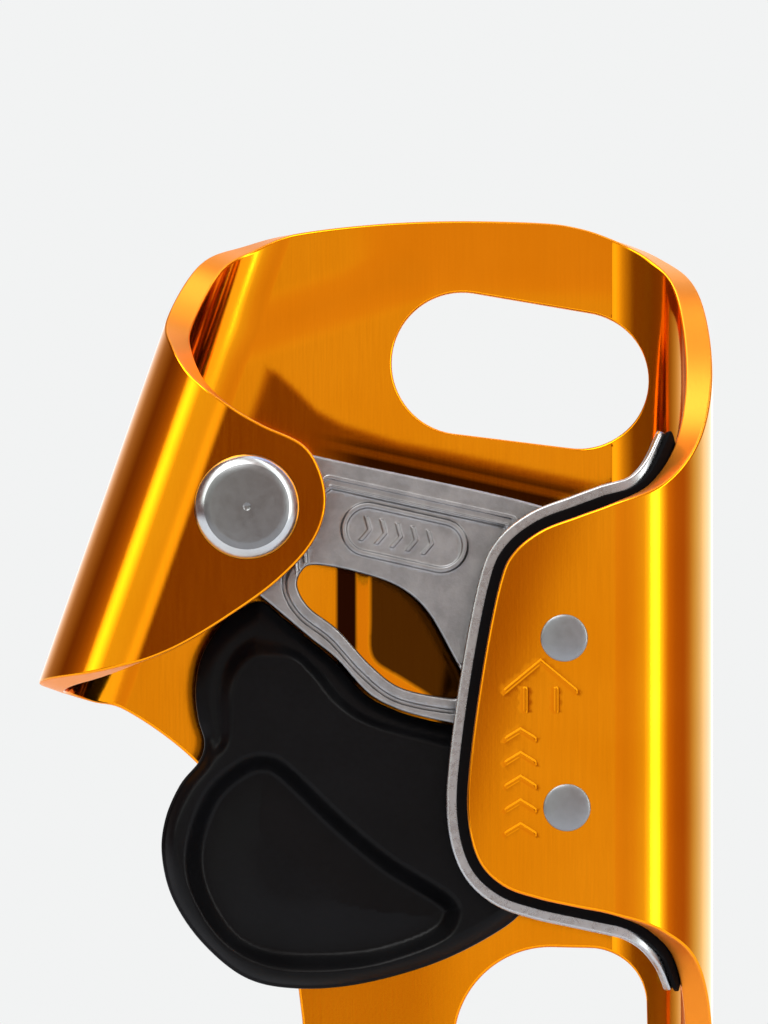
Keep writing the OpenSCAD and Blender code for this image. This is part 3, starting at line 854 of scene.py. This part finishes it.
def lean_of_sheet(p):
    """How far the plate's faces lean from true. The pivot flap is flat; the rest is gently dished."""
    x, z = p.T
    past_pivot = (p - np.array(LEAN_POINT)) @ lean_out
    lit = np.maximum(ramp(z - np.interp(x, *np.array(SHADE_LINE).T), *SHADE_EDGE), ramp(z, *LIT_LOW))
    lit = np.maximum(lit, ramp(past_pivot, *LIT_BY_PIVOT))
    lit = np.maximum(lit, ramp(z, *LIT_BEHIND_CAM) * (z > MID_HEIGHT))
    dish = np.interp(to_line(p, *DISH), [0, DISH_REACH], [DISH_LEAN, 0])
    dish += CORNER_LEAN * ramp(x, *CORNER_X) * ramp(z, *CORNER_Z)
    low = LOW_LEAN * ramp(z, *LOW_Z) * ramp(x, *LOW_X)
    on_back = (x < BEND_X - BEND_STEP) * ramp(past_pivot, *PIVOT_FADE)
    flap_x = 2 * BEND_X + channel_span - x
    flap = FLAP_LEAN[0] + FLAP_LEAN[1] * ramp(flap_x + FLAP_SLANT * (FLAP_MIDDLE - z), *FLAP_FADE)
    on_flap = ramp(flap_x, BEND_X + channel_span / 2 + FLAP_START, BEND_X) * (x > BEND_X)
    in_bend = BEND_LEAN * ramp(x, BEND_X + BEND_FADE, BEND_X) * (x > BEND_X - BEND_STEP)
    return (BACK_LEAN + dish - low) * lit * on_back - flap * on_flap - in_bend


# Painted shade, and a painted reflection of the cam's top edge, lie along the seam above the cam; painted
# shade also lies in the pocket, and left of it behind the cam's window.
cam_top = np.array([[-25.8, 64.8], [-3.4, 59.9]])
cam_rise = (cam_top[1, 1] - cam_top[0, 1]) / (cam_top[1, 0] - cam_top[0, 0])
# How dark the painted shade and the painted reflection of the cam's top edge are, at distances above that
# edge.
SEAM = (-1.6, -0.6, 0.9, 1.35, 1.8, 2.1, 2.5, 2.9)
SEAM_SHADE = [0.0, 0.9, 0.9, 0.25, 0.25, 0.7, 0.5, 0.0]
SEAM_ENDS = ((-27, -20), (8, 2))
POCKET_SHADE = 0.93
POCKET_ENDS = ((57.5, 56.5), (33, 36))
SHADE_BAND_X = -22.5
SHADE_BAND_HALF = (1.3, 0.9)


def painted_shade_of_plate(p):
    """Painted shade on the back plate's face, where the studio's light doesn't reach behind the cam, with a
    painted reflection of the cam's top edge along the seam.
    """
    x, z = p.T
    above = z - cam_top[0, 1] - cam_rise * (x - cam_top[0, 0])
    seam = np.interp(above, SEAM, SEAM_SHADE) * ramp(x, *SEAM_ENDS[0]) * ramp(x, *SEAM_ENDS[1])
    behind = ramp(z, *POCKET_ENDS[0]) * ramp(z, *POCKET_ENDS[1])
    pocket = POCKET_SHADE * ramp(depth_in(p, pocket_loop), POCKET_WALL[1], POCKET_WALL[1] + 0.5)
    # A band of painted shadow, the cam's, left of the pocket behind the cam's window.
    slot = ramp(np.abs(x - SHADE_BAND_X), *SHADE_BAND_HALF)
    return np.clip(np.maximum(seam, behind * np.maximum(pocket, slot)), 0, 1)


blank = Folded(0, [((BEND_X, 0), (1, 0), CHANNEL_R), (LEAN_POINT, tuple(lean_out), PIVOT_R)])
upper_eye = past_bend(oblong(*UPPER_EYE, UPPER_EYE_R, 36, 0.5))
plate_holes = [upper_eye, lower_eye(), circle(AXLE, AXLE_R + 0.05)]
plate_holes += [flap_blank(circle(c, RIVET_R + 0.02)) for c in LINER_RIVETS.values()]
axle_flap_hole = pivot_blank(circle(AXLE, AXLE_R + 0.05))
plate_holes.append(axle_flap_hole)
folds = [upright(x, -22, 92, 200) for x in (BEND_X - 0.05, BEND_X, BEND_X + channel_span)]
folds += [np.array([lean_blank(along, 6 * far) for along in np.linspace(-24, 40, 120)]) for far in (0, 1)]
folds = [(line, False) for line in folds]
mark_lines = [(shrunk(flap_blank(m), d), True) for m in MARKS for d in with_middles((0, MARK_WALL))]
pocket_steps = (POCKET_WALL[0] - 0.05, POCKET_WALL[0], -0.1, POCKET_WALL[1], POCKET_WALL[1] + 0.05, 1.0)
pocket_lines = [(pocket_loop + d * leftward(pocket_loop), True) for d in pocket_steps]
seam_x = np.linspace(-30, 10, 100)
past_ends = np.minimum(seam_x - cam_top[0, 0], 0) + np.maximum(seam_x - cam_top[1, 0], 0)
seam_z = np.interp(seam_x, *cam_top.T) + cam_rise * past_ends
pocket_lines += [(np.stack([seam_x, seam_z + rise], 1), False) for rise in SEAM]
pocket_lines += [(upright(SHADE_BAND_X + side * half, 36.5, 57, 50), False)
                 for side in (-1, 1) for half in with_middles(SHADE_BAND_HALF)]
plate_edge = plate_outline()
# The shading steps at the bend, so the cut edges get points close on both sides of it.
for aside in (-0.36, -0.27, -0.18, -0.09, -0.02, 0.02, 0.09, 0.18, 0.27, 0.36):
    plate_edge = split_at(plate_edge, BEND_X - BEND_STEP + aside)
    plate_holes = [split_at(hole, BEND_X - BEND_STEP + aside) for hole in plate_holes]
# The back plate's face gets painted shade behind the cam, from the function above.
plate = solid("plate", plate_edge, plate_holes, plate_outer, plate_inner, 0.3, 0.55, folds + mark_lines,
              folds + pocket_lines, blank.place, blank.turn, lean_of_sheet, painted_shade_of_plate)
fitted(plate, "body", "anodised_plate", "anodised_plate", "frame")

# ---- liner, and the black strip of painted shade between it and the flap


def lining(name, radius, thick, rim, top, bottom, edge):
    """One layer of the channel's lining, whose front leg stands past the flap by rim. The black strip is such
    a layer too, painted shade for the shadowed gap between the liner and the flap.
    """

    def row(table):
        return [[BEND_X + math.radians(a) * radius, z] for a, z in table]

    flap = spans([[BEND_X, CHANNEL_TOP[6]]] + FLAP_EDGE + [[BEND_X, CHANNEL_BOTTOM[6]]], 0.6, False)
    d = np.gradient(flap, axis=0)
    out = np.stack([d[:, 1], -d[:, 0]], 1) / np.linalg.norm(d, axis=1)[:, None]
    front = flap_blank(flap + rim * out, radius)
    upper = spans(row(top), 0.6, False)
    lower = spans(row(bottom), 0.6, False)[::-1]
    back = upright(LINER_LEFT, bottom[0][1], top[0][1], 40)
    outline = np.concatenate([upper[:-1], front[1:-1], lower[1:], back])
    holes = [flap_blank(circle(c, RIVET_R + 0.02), radius) for c in LINER_RIVETS.values()]
    sheet = Folded(-CHANNEL_R + radius, [((BEND_X, 0), (1, 0), radius)])
    return solid(name, outline, holes, level(thick / 2), level(-thick / 2), edge, 0.7,
                 place=sheet.place, turn=sheet.turn)


liner = lining("liner", LINER_R, LINER_T, LINER_RIM, LINER_TOP, LINER_BOTTOM, 0.3)
# The black strip is painted shade: a dark sheet in the gap between the liner's rim and the flap's edge, where
# there is only shadow.
strip = lining("strip", STRIP_R, STRIP_T, STRIP_RIM, STRIP_TOP, STRIP_BOTTOM, 0.15)
fitted(liner, "body", "stainless", "stainless", "wear_liner")
fitted(strip, "body", "black_strip", "black_strip", "insulating_strip")

# ---- rivets and axle

flap_front = -CHANNEL_R * 2 - SHEET / 2
liner_rear = -CHANNEL_R - LINER_R + LINER_T / 2
HEAD_RIM = 0.12
TAIL_RIM = 0.1
TAIL_R = RIVET_HEAD_R - 0.3


def dome(r, y, rise, count):
    """Profile of a dome that stands rise above y, from its tip to its rim."""
    points = [[r * math.sin(a), y + rise * math.cos(a)] for a in np.linspace(0, math.pi / 2, count)]
    points[0][0] = 0
    return points


head = dome(RIVET_HEAD_R, flap_front - HEAD_RIM, HEAD_RIM - RIVET_HEAD_H, 10)
tail = dome(TAIL_R, liner_rear + TAIL_RIM, RIVET_HEAD_H - TAIL_RIM, 8)[::-1]
shank = [[RIVET_HEAD_R, flap_front], [RIVET_R, flap_front], [RIVET_R, liner_rear], [TAIL_R, liner_rear]]
for which, centre in LINER_RIVETS.items():
    fitted(lathe(f"rivet_{which}", centre, head + shank + tail), "body", "rivet_steel", "rivet_steel",
           f"{which}_liner_rivet")

# Radius and height of each point of the axle's heads, on the flap and behind the plate.
AXLE_HEAD = [[0, 1.84], [0.3, 1.86], [0.45, 1.98], [3.9, 2.0], [4.15, 1.96], [4.7, 1.75], [5.2, 1.42],
             [5.55, 1.08], [5.75, 0.7], [5.8, 0.35], [5.8, 0]]
AXLE_TAIL = [[AXLE_R, 1], [5.1, 1], [5.1, 1.7], [4.9, 2.0], [4.4, 2.3], [4.0, 2.4], [0, 2.4]]
SHADED_FACE_HEIGHT = 1.8
SHADED_SKIRT_FACING = -0.4

flap_y = -2 * PIVOT_R - SHEET / 2
axle_profile = [[r, flap_y - h] for r, h in AXLE_HEAD + [[AXLE_R, 0]]]
axle_profile += [[r, SHEET / 2 + h] for r, h in AXLE_TAIL]
axle = fitted(lathe("axle", AXLE, axle_profile, 128), "body", "axle_steel", "stainless", "cam_axle")
# The head's flat face gets a darker copy of the steel: painted shade for the dark studio that the face looks
# at.
axle.data.materials.append(FINISH["painted_shade_face"])
# The skirt where the head meets the flap gets the black finish: painted shade along the head's edge, where it
# shadows the flap.
axle.data.materials.append(FINISH["black_strip"])
for polygon in axle.data.polygons:
    if polygon.center.y < (flap_y - SHADED_FACE_HEIGHT) * MM:
        polygon.material_index = 1
    elif polygon.center.y < flap_y * MM and polygon.normal.y > SHADED_SKIRT_FACING:
        polygon.material_index = 2

# ---- cam

def face_point(angle):
    """Where the cam's toothed face, a spiral, lies at the angle below the axle."""
    r = FACE_REACH / math.cos(FACE_GRIP) * math.exp(math.tan(FACE_GRIP) * (angle - FACE_GRIP))
    return np.array(AXLE) + r * np.array([math.cos(angle), -math.sin(angle)])


cam_face = [face_point(math.radians(a)).tolist() for a in FACE_ANGLES]
cam_outline = spans(ARM_TOP + cam_face + ARM_BOTTOM + arc(AXLE, HUB_R, range(255, 75, -15)), 0.35, True)
window_loop = curve(CAM_WINDOW, 0.3)
web_loop = shrunk(WEB, 0, 0.5)
badge_along = np.array(BADGE[1], float) - np.array(BADGE[0], float)
badge_along /= np.linalg.norm(badge_along)
badge_across = np.array([-badge_along[1], badge_along[0]])


def badge_mark(at):
    """A chevron on the badge, its point along the badge."""
    return np.array([np.array(BADGE[0]) + (at + r) * badge_along + z * badge_across
                     for z, r in chevron(0, 0, 1.45, 0.75, 0.62)])


# Steps of the cam's front, as distances from an outline, and how high each one rises or sinks.
BADGE_MARKS = [badge_mark(-0.9 + 1.75 * k) for k in range(5)]
BADGE_MARK_WALL = 0.16
BADGE_MARK_RISE = 0.25
BADGE_STEPS = (0, 0.3, 0.6, 0.9)
BADGE_RIM = 0.5
WEB_STEPS = (-0.75, -0.6, -0.4, -0.15, 0.3, 0.45, 0.65, 0.95)
WEB_LIP = 0.1
WEB_SHELF = 0.45
WEB_RIDGE = 0.18
WEB_SINK = 0.55
GROOVE_STEPS = (1.05, 1.3, 1.5, 1.75)
GROOVE_DEPTH = 0.6
GROOVE_SINK = 0.25
GROOVE_FADE = (0.1, 0.6)
BOSS_WALL = 0.5
REAR_BOSS = (7.5, 0.3, 0.6)


def cam_front(p):
    web = depth_in(p, web_loop)
    step = [ramp(web, low, high) for low, high in zip(WEB_STEPS, WEB_STEPS[1:])]
    height = ARM_FRONT + WEB_LIP * (step[0] - step[1]) - WEB_SHELF * step[2]
    height += WEB_RIDGE * (step[4] - step[5]) - WEB_SINK * step[6]
    in_badge = BADGE_R - to_line(p, *BADGE)
    height += BADGE_RIM * (ramp(in_badge, *BADGE_STEPS[:2]) - ramp(in_badge, *BADGE_STEPS[2:]))
    for loop in BADGE_MARKS:
        height += BADGE_MARK_RISE * ramp(depth_in(p, wound(loop, True)), 0, BADGE_MARK_WALL)
    rim = -depth_in(p, window_loop)
    in_groove, past_groove = ramp(rim, *GROOVE_STEPS[:2]), ramp(rim, *GROOVE_STEPS[2:])
    lower = ramp(-web, *GROOVE_FADE)
    height -= lower * (GROOVE_DEPTH * (in_groove - past_groove) + GROOVE_SINK * past_groove)
    boss = ramp(in_circle(p, AXLE, HUB_R), 0, BOSS_WALL)
    return height * (1 - boss) + HUB_FRONT * boss


def cam_rear(p):
    r, wall, rise = REAR_BOSS
    return ARM_REAR + rise * ramp(in_circle(p, AXLE, r), 0, wall)


cam_lines = [(shrunk(WEB, d), True) for d in with_middles(WEB_STEPS)]
cam_lines += [(oblong(*BADGE, (r, r), round(math.pi * r / 0.25), 0.25), True)
              for r in BADGE_R - with_middles(BADGE_STEPS)]
cam_lines += [(shrunk(mark, d, 0.2), True)
              for mark in BADGE_MARKS for d in with_middles((0, BADGE_MARK_WALL))]
cam_lines += [(window_loop - d * leftward(window_loop), True) for d in with_middles(GROOVE_STEPS)]
cam_lines += [(circle(AXLE, HUB_R - d), True) for d in (0, BOSS_WALL)]
cam = solid("cam_arm", cam_outline, [window_loop, circle(AXLE, BUSH_R)], cam_front, cam_rear, 0.3, 0.3,
            cam_lines)


def box(name, low, high, round_off):
    """A box with rounded edges, for cutting."""
    bm = bmesh.new()
    bmesh.ops.create_cube(bm, size=1)
    low, high = Vector(low) * MM, Vector(high) * MM
    for v in bm.verts:
        v.co = Vector((low[k] if v.co[k] < 0 else high[k]) for k in range(3))
    bmesh.ops.bevel(bm, geom=bm.edges, offset=round_off * MM, segments=3, affect="EDGES", profile=0.5)
    mesh = bpy.data.meshes.new(name)
    bm.to_mesh(mesh)
    bm.free()
    return linked(name, mesh)


MUD_SLOT = [[-11, -1.3, 38.5], [19, 1.3, 45]]
rope_y = -CHANNEL_R
mud_low, mud_high = [(x, rope_y + y, z) for x, y, z in MUD_SLOT]
cut_away(cam, [box("mud_slot", mud_low, mud_high, 0.5)])
tidy_normals(cam, angle=50)
fitted(cam, "cam", "cast_cam", "cast_cam", "cam")


TOOTH_ROWS = 7
TOOTH_SIDES = 14
TOOTH_ANGLE = 13.2
TOOTH_PITCH = 2.9
TOOTH_STAGGER = 1.4
LAST_ANGLE = 31.2
COLUMN_PITCH = 2.4
SLOT_ROWS = (2, 3, 4)
# Radius and height of the cone's rings, from below the face up, each as a share of TOOTH_R or TOOTH_H.
CONE = [(1.3, -0.4 / TOOTH_H), (1.0, 0.0), (0.35, 0.86), (0.18, 0.97)]


def cones():
    """The cam's rows of conical teeth."""
    verts, faces = [], []
    sides = TOOTH_SIDES
    for row, column in product(range(TOOTH_ROWS), (-1, 0, 1)):
        degrees = TOOTH_ANGLE + TOOTH_PITCH * row + (TOOTH_STAGGER if column == 0 else 0)
        if degrees > LAST_ANGLE or (column == 0 and row in SLOT_ROWS):
            continue
        p = face_point(math.radians(degrees))
        tilt = math.radians(degrees) - FACE_GRIP
        out = np.array([math.cos(tilt), 0, -math.sin(tilt)])
        up = np.array([math.sin(tilt), 0, math.cos(tilt)])
        root = np.array([p[0], rope_y + COLUMN_PITCH * column, p[1]])
        start = len(verts)
        for r, h in CONE:
            for a in np.arange(sides) * 2 * math.pi / sides:
                aside = math.cos(a) * up + math.sin(a) * np.array([0, 1, 0])
                verts.append(root + h * TOOTH_H * out + r * TOOTH_R * aside)
        verts.append(root + TOOTH_H * out)
        last = start + (len(CONE) - 1) * sides
        for k in range(sides):
            j = (k + 1) % sides
            faces += [(a + k, a + j, a + sides + j, a + sides + k) for a in range(start, last, sides)]
            faces.append((last + k, last + j, len(verts) - 1))
        faces.append(tuple(range(start + sides - 1, start - 1, -1)))
    obj = make("cam_teeth", np.array(verts), faces)
    tidy_normals(obj, angle=40)
    return obj


fitted(cones(), "cam", "cast_cam", "cast_cam")

LUG_FRONT = 10.6
LUG_REAR = 8.3
LUG_ROOT = [[2.5, 5], [-2.5, 5.6]]
lug = arc(PIN, LUG_R, range(160, 381, 10)) + [[PIN[0] + x, PIN[1] + z] for x, z in LUG_ROOT]
cam_lug = solid("cam_lug", dense(np.array(lug), 0.4), [circle(PIN, PIN_R)], level(LUG_FRONT), level(LUG_REAR),
                0.25, 0.6)
fitted(cam_lug, "cam", "cast_cam", "cast_cam")

# ---- trigger

trigger_loop = curve(TRIGGER, 0.4)
well_loop = curve(THUMB_WELL, 0.5)
plateau_loop = curve(PLATEAU, 0.5)
TRIGGER_SHELF = 0.4
WIDE_FLANK = (2.0, 3.2)
FLANK_STEP = 0.4
WELL_WALL = (-0.5, 2.0)
WELL_RISE = 0.6
WELL_MIDDLE = (1.8, 8.0)
REAR_FLANK = 2.0
EAR_WALL = (-0.3, 0.1)
EAR_RISE = 0.3


def trigger_front(p):
    """The front rises to the plateau in one round, or in two steps where its flank is wide."""
    d = np.maximum(depth_in(p, trigger_loop), 0)
    width = d + np.maximum(-depth_in(p, plateau_loop), 0)
    share = np.clip(d / np.maximum(width, 1e-6), 0, 1)
    hollowed = np.where(share < 0.5, FLANK_STEP * np.sin(math.pi * share),
                        FLANK_STEP + (1 - FLANK_STEP) * ramp(share, 0.5, 1))
    wide = ramp(width, *WIDE_FLANK)
    rise = np.sin(0.5 * math.pi * share) * (1 - wide) + hollowed * wide
    shelf = TRIGGER_EDGE[0] + TRIGGER_SHELF
    well = depth_in(p, well_loop)
    height = shelf + (TRIGGER_FRONT - shelf) * rise
    height += WELL_RISE * ramp(well, *WELL_MIDDLE) - THUMB_DEPTH * ramp(well, *WELL_WALL)
    ear = ramp(in_circle(p, PIN, EAR_R), *EAR_WALL)
    return height * (1 - ear) + (TRIGGER_FRONT + EAR_RISE) * ear


def trigger_rear(p):
    rise = ramp(depth_in(p, trigger_loop), 0, REAR_FLANK)
    height = TRIGGER_EDGE[1] - (TRIGGER_EDGE[1] - TRIGGER_REAR) * rise
    ear = ramp(in_circle(p, PIN, EAR_R), *EAR_WALL)
    return height * (1 - ear) + (TRIGGER_REAR - EAR_RISE) * ear


well_steps = (WELL_WALL[0], 0.1, 0.75, 1.4, WELL_WALL[1])
well_lines = [(well_loop + d * leftward(well_loop), True) for d in well_steps]
trigger = solid("trigger_body", trigger_loop, [circle(PIN, PIN_R)], trigger_front, trigger_rear, 0.35, 0.35,
                well_lines + [(plateau_loop, True)])
fork_profile = [[0, FORK_Y[0]], [FORK_R, FORK_Y[0]], [FORK_R, FORK_Y[1]], [0, FORK_Y[1]]]
fork_cutter = lathe("fork_cut", PIN, fork_profile, 48)
fork_cutter.modifiers.clear()
mouth_low = (PIN[0] - 3, FORK_Y[0], PIN[1])
mouth_high = (PIN[0] + 5, FORK_Y[1], PIN[1] + 8)
cut_away(trigger, [fork_cutter, box("fork_mouth", mouth_low, mouth_high, 0.3)])
tidy_normals(trigger, angle=50)
fitted(trigger, "trigger", "black_nylon", "black_nylon", "trigger")

# ---- CAD nodes that stay as they are

KEPT = {"trigger_pin": "axle_steel", "cam_bush": "bronze"}
KEPT |= dict.fromkeys(("axle_rear_washer", "front_thrust_washer", "rear_thrust_washer", "trigger_pin_washer",
                       "cam_spring", "trigger_spring"), "spring_steel")
for node, finish in KEPT.items():
    for material_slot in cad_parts[node].material_slots:
        material_slot.material = FINISH[finish]

# ---- studio

scene = bpy.context.scene
scene.view_settings.view_transform = "Standard"
FLOOR_X = -0.018
FLOOR_R = 0.4
FLOOR_GAP = 0.0004
FLOOR_STEP = 0.0393


def floor():
    """A pale round floor just under the object."""
    base = cad_box[0][2] - FLOOR_GAP
    verts = [(x, y, base) for x, y in circle([FLOOR_X, 0], FLOOR_R, FLOOR_STEP)]
    mesh = bpy.data.meshes.new("floor")
    mesh.from_pydata(verts, [], [tuple(range(len(verts)))])
    n = Nodes("pale_floor")
    tone = n.mix(n.band(n.noise(40, 3), 0.35, 0.65), (0.84, 0.85, 0.85), (0.87, 0.88, 0.88))
    n.set(Base_Color=tone, Roughness=0.7)
    mesh.materials.append(n.material)
    linked("floor", mesh)


floor()

# The studio round the object: degrees to the right of the camera, then the light's colour. The low ring lies
# level with the object; the high one is what leaning and upward faces see.
LAMP = 8.0
RIGHT_RING = [(3, 0.5, 0.3, 0.25), (6, 0.95, 0.9, 0.8), (10, 0.86, 0.66, 0.6), (20, 0.8, 0.62, 0.58),
              (30, 0.86, 0.7, 0.65), (42, 0.95, 0.95, 0.9), (49, 1.7, 2.0, 1.9), (53, 7.6, 7.4, 7.4),
              (57, 7.6, 7.4, 7.4), (61, 2.1, 2.6, 2.4), (66, 1.1, 1.1, 1.0), (72, 0.7, 0.4, 0.35),
              (82, 0.5, 0.26, 0.22), (94, 0.46, 0.22, 0.2), (102, 0.55, 0.4, 0.5), (112, 0.75, 0.9, 1.6),
              (122, 0.9, 1.3, 2.6), (134, 1.3, 1.9, 3.0), (150, 1.8, 1.9, 2.2), (180, 1.8, 1.9, 2.0)]
LOW_RING = [(-180, 1.4, 1.5, 1.6), (-150, 1.2, 1.4, 1.4), (-118, 0.6, 0.6, 0.6), (-100, 0.3, 0.16, 0.14),
            (-60, 0.16, 0.08, 0.07), (-36, 0.22, 0.12, 0.1), (-26, 0.7, 0.6, 0.5), (-16, 1.6, 1.6, 1.4),
            (-9, 1.3, 1.2, 1.1), (-4, 0.22, 0.1, 0.08), (0, 0.17, 0.07, 0.05)] + RIGHT_RING
HIGH_RING = [(-180, 1.4, 1.5, 1.6), (-150, 0.9, 0.9, 0.9), (-134, 0.45, 0.36, 0.3),
             (-104, 0.18, 0.08, 0.06), (-90, 0.25, 0.13, 0.1), (-78, 0.4, 0.22, 0.18), (-69, 0.58, 0.36, 0.3),
             (-63, 2.6, 2.7, 2.6), (-57, 3.6, 3.8, 3.6), (-51, 2.6, 2.6, 2.4), (-44, 1.0, 1.05, 1.0),
             (-4, 1.0, 0.95, 0.9)] + RIGHT_RING
BACKDROP = (0.887, 0.896, 0.896)
RINGS_MEET = (0.03, 0.16)


def studio_world():
    """A pale studio: camera rays see its plain backdrop, and the metal sees its lamps and its dark side."""
    world = bpy.data.worlds.new("studio")
    world.use_nodes = True
    scene.world = world
    n = Tree(world.node_tree)
    n.tree.nodes.clear()
    x, y, z = n.add("ShaderNodeSeparateXYZ", Vector=n.add("ShaderNodeTexCoord").outputs["Generated"]).outputs
    azimuth = n.calc("ARCTAN2", x, n.calc("MULTIPLY", y, -1.0))
    turn = n.calc("MULTIPLY_ADD", azimuth, 1 / (2 * math.pi), 0.5)
    rings = []
    for stops in (LOW_RING, HIGH_RING):
        ring = n.add("ShaderNodeValToRGB")
        n.put(ring.inputs[0], turn)
        elements = ring.color_ramp.elements
        while len(elements) < len(stops):
            elements.new(1.0)
        for element, (degrees, *tone) in zip(elements, stops):
            element.position = 0.5 + degrees / 360
            element.color = (*(t / LAMP for t in tone), 1)
        rings.append(ring.outputs[0])
    rise = n.band(z, *RINGS_MEET, interpolation_type="SMOOTHSTEP")
    lamps = n.add("ShaderNodeBackground", Color=n.mix(rise, *rings), Strength=LAMP)
    backdrop = n.add("ShaderNodeBackground", Color=BACKDROP)
    choose = n.add("ShaderNodeMixShader")
    seen = n.add("ShaderNodeLightPath").outputs["Is Camera Ray"]
    for socket, value in zip(choose.inputs, (seen, lamps.outputs[0], backdrop.outputs[0])):
        n.put(socket, value)
    n.add("ShaderNodeOutputWorld", Surface=choose.outputs[0])


studio_world()

SOFTBOX_AT = (-0.35, -0.5, 0.9)
SOFTBOX_AIM = (-0.018, -0.009, 0.045)
light = bpy.data.lights.new("softbox_top", "AREA")
light.shape = "RECTANGLE"
light.size, light.size_y = 0.7, 0.5
light.energy = 6
softbox = linked("softbox_top", light)
softbox.location = SOFTBOX_AT
softbox.rotation_euler = (Vector(SOFTBOX_AIM) - Vector(SOFTBOX_AT)).to_track_quat("-Z", "Y").to_euler()

VIEW_HEIGHT = 0.11264
SENSOR = 36
CAMERA_AWAY = 3.0
CAMERA_AIM = (-0.01836, -0.01, 0.05861)
camera = bpy.data.cameras.new("camera")
camera.sensor_fit = "VERTICAL"
camera.sensor_height = SENSOR
camera.lens = SENSOR * CAMERA_AWAY / VIEW_HEIGHT
camera.clip_start = 0.1
scene.camera = linked("camera", camera)
scene.camera.location = (CAMERA_AIM[0], CAMERA_AIM[1] - CAMERA_AWAY, CAMERA_AIM[2])
scene.camera.rotation_euler = (math.pi / 2, 0, 0)
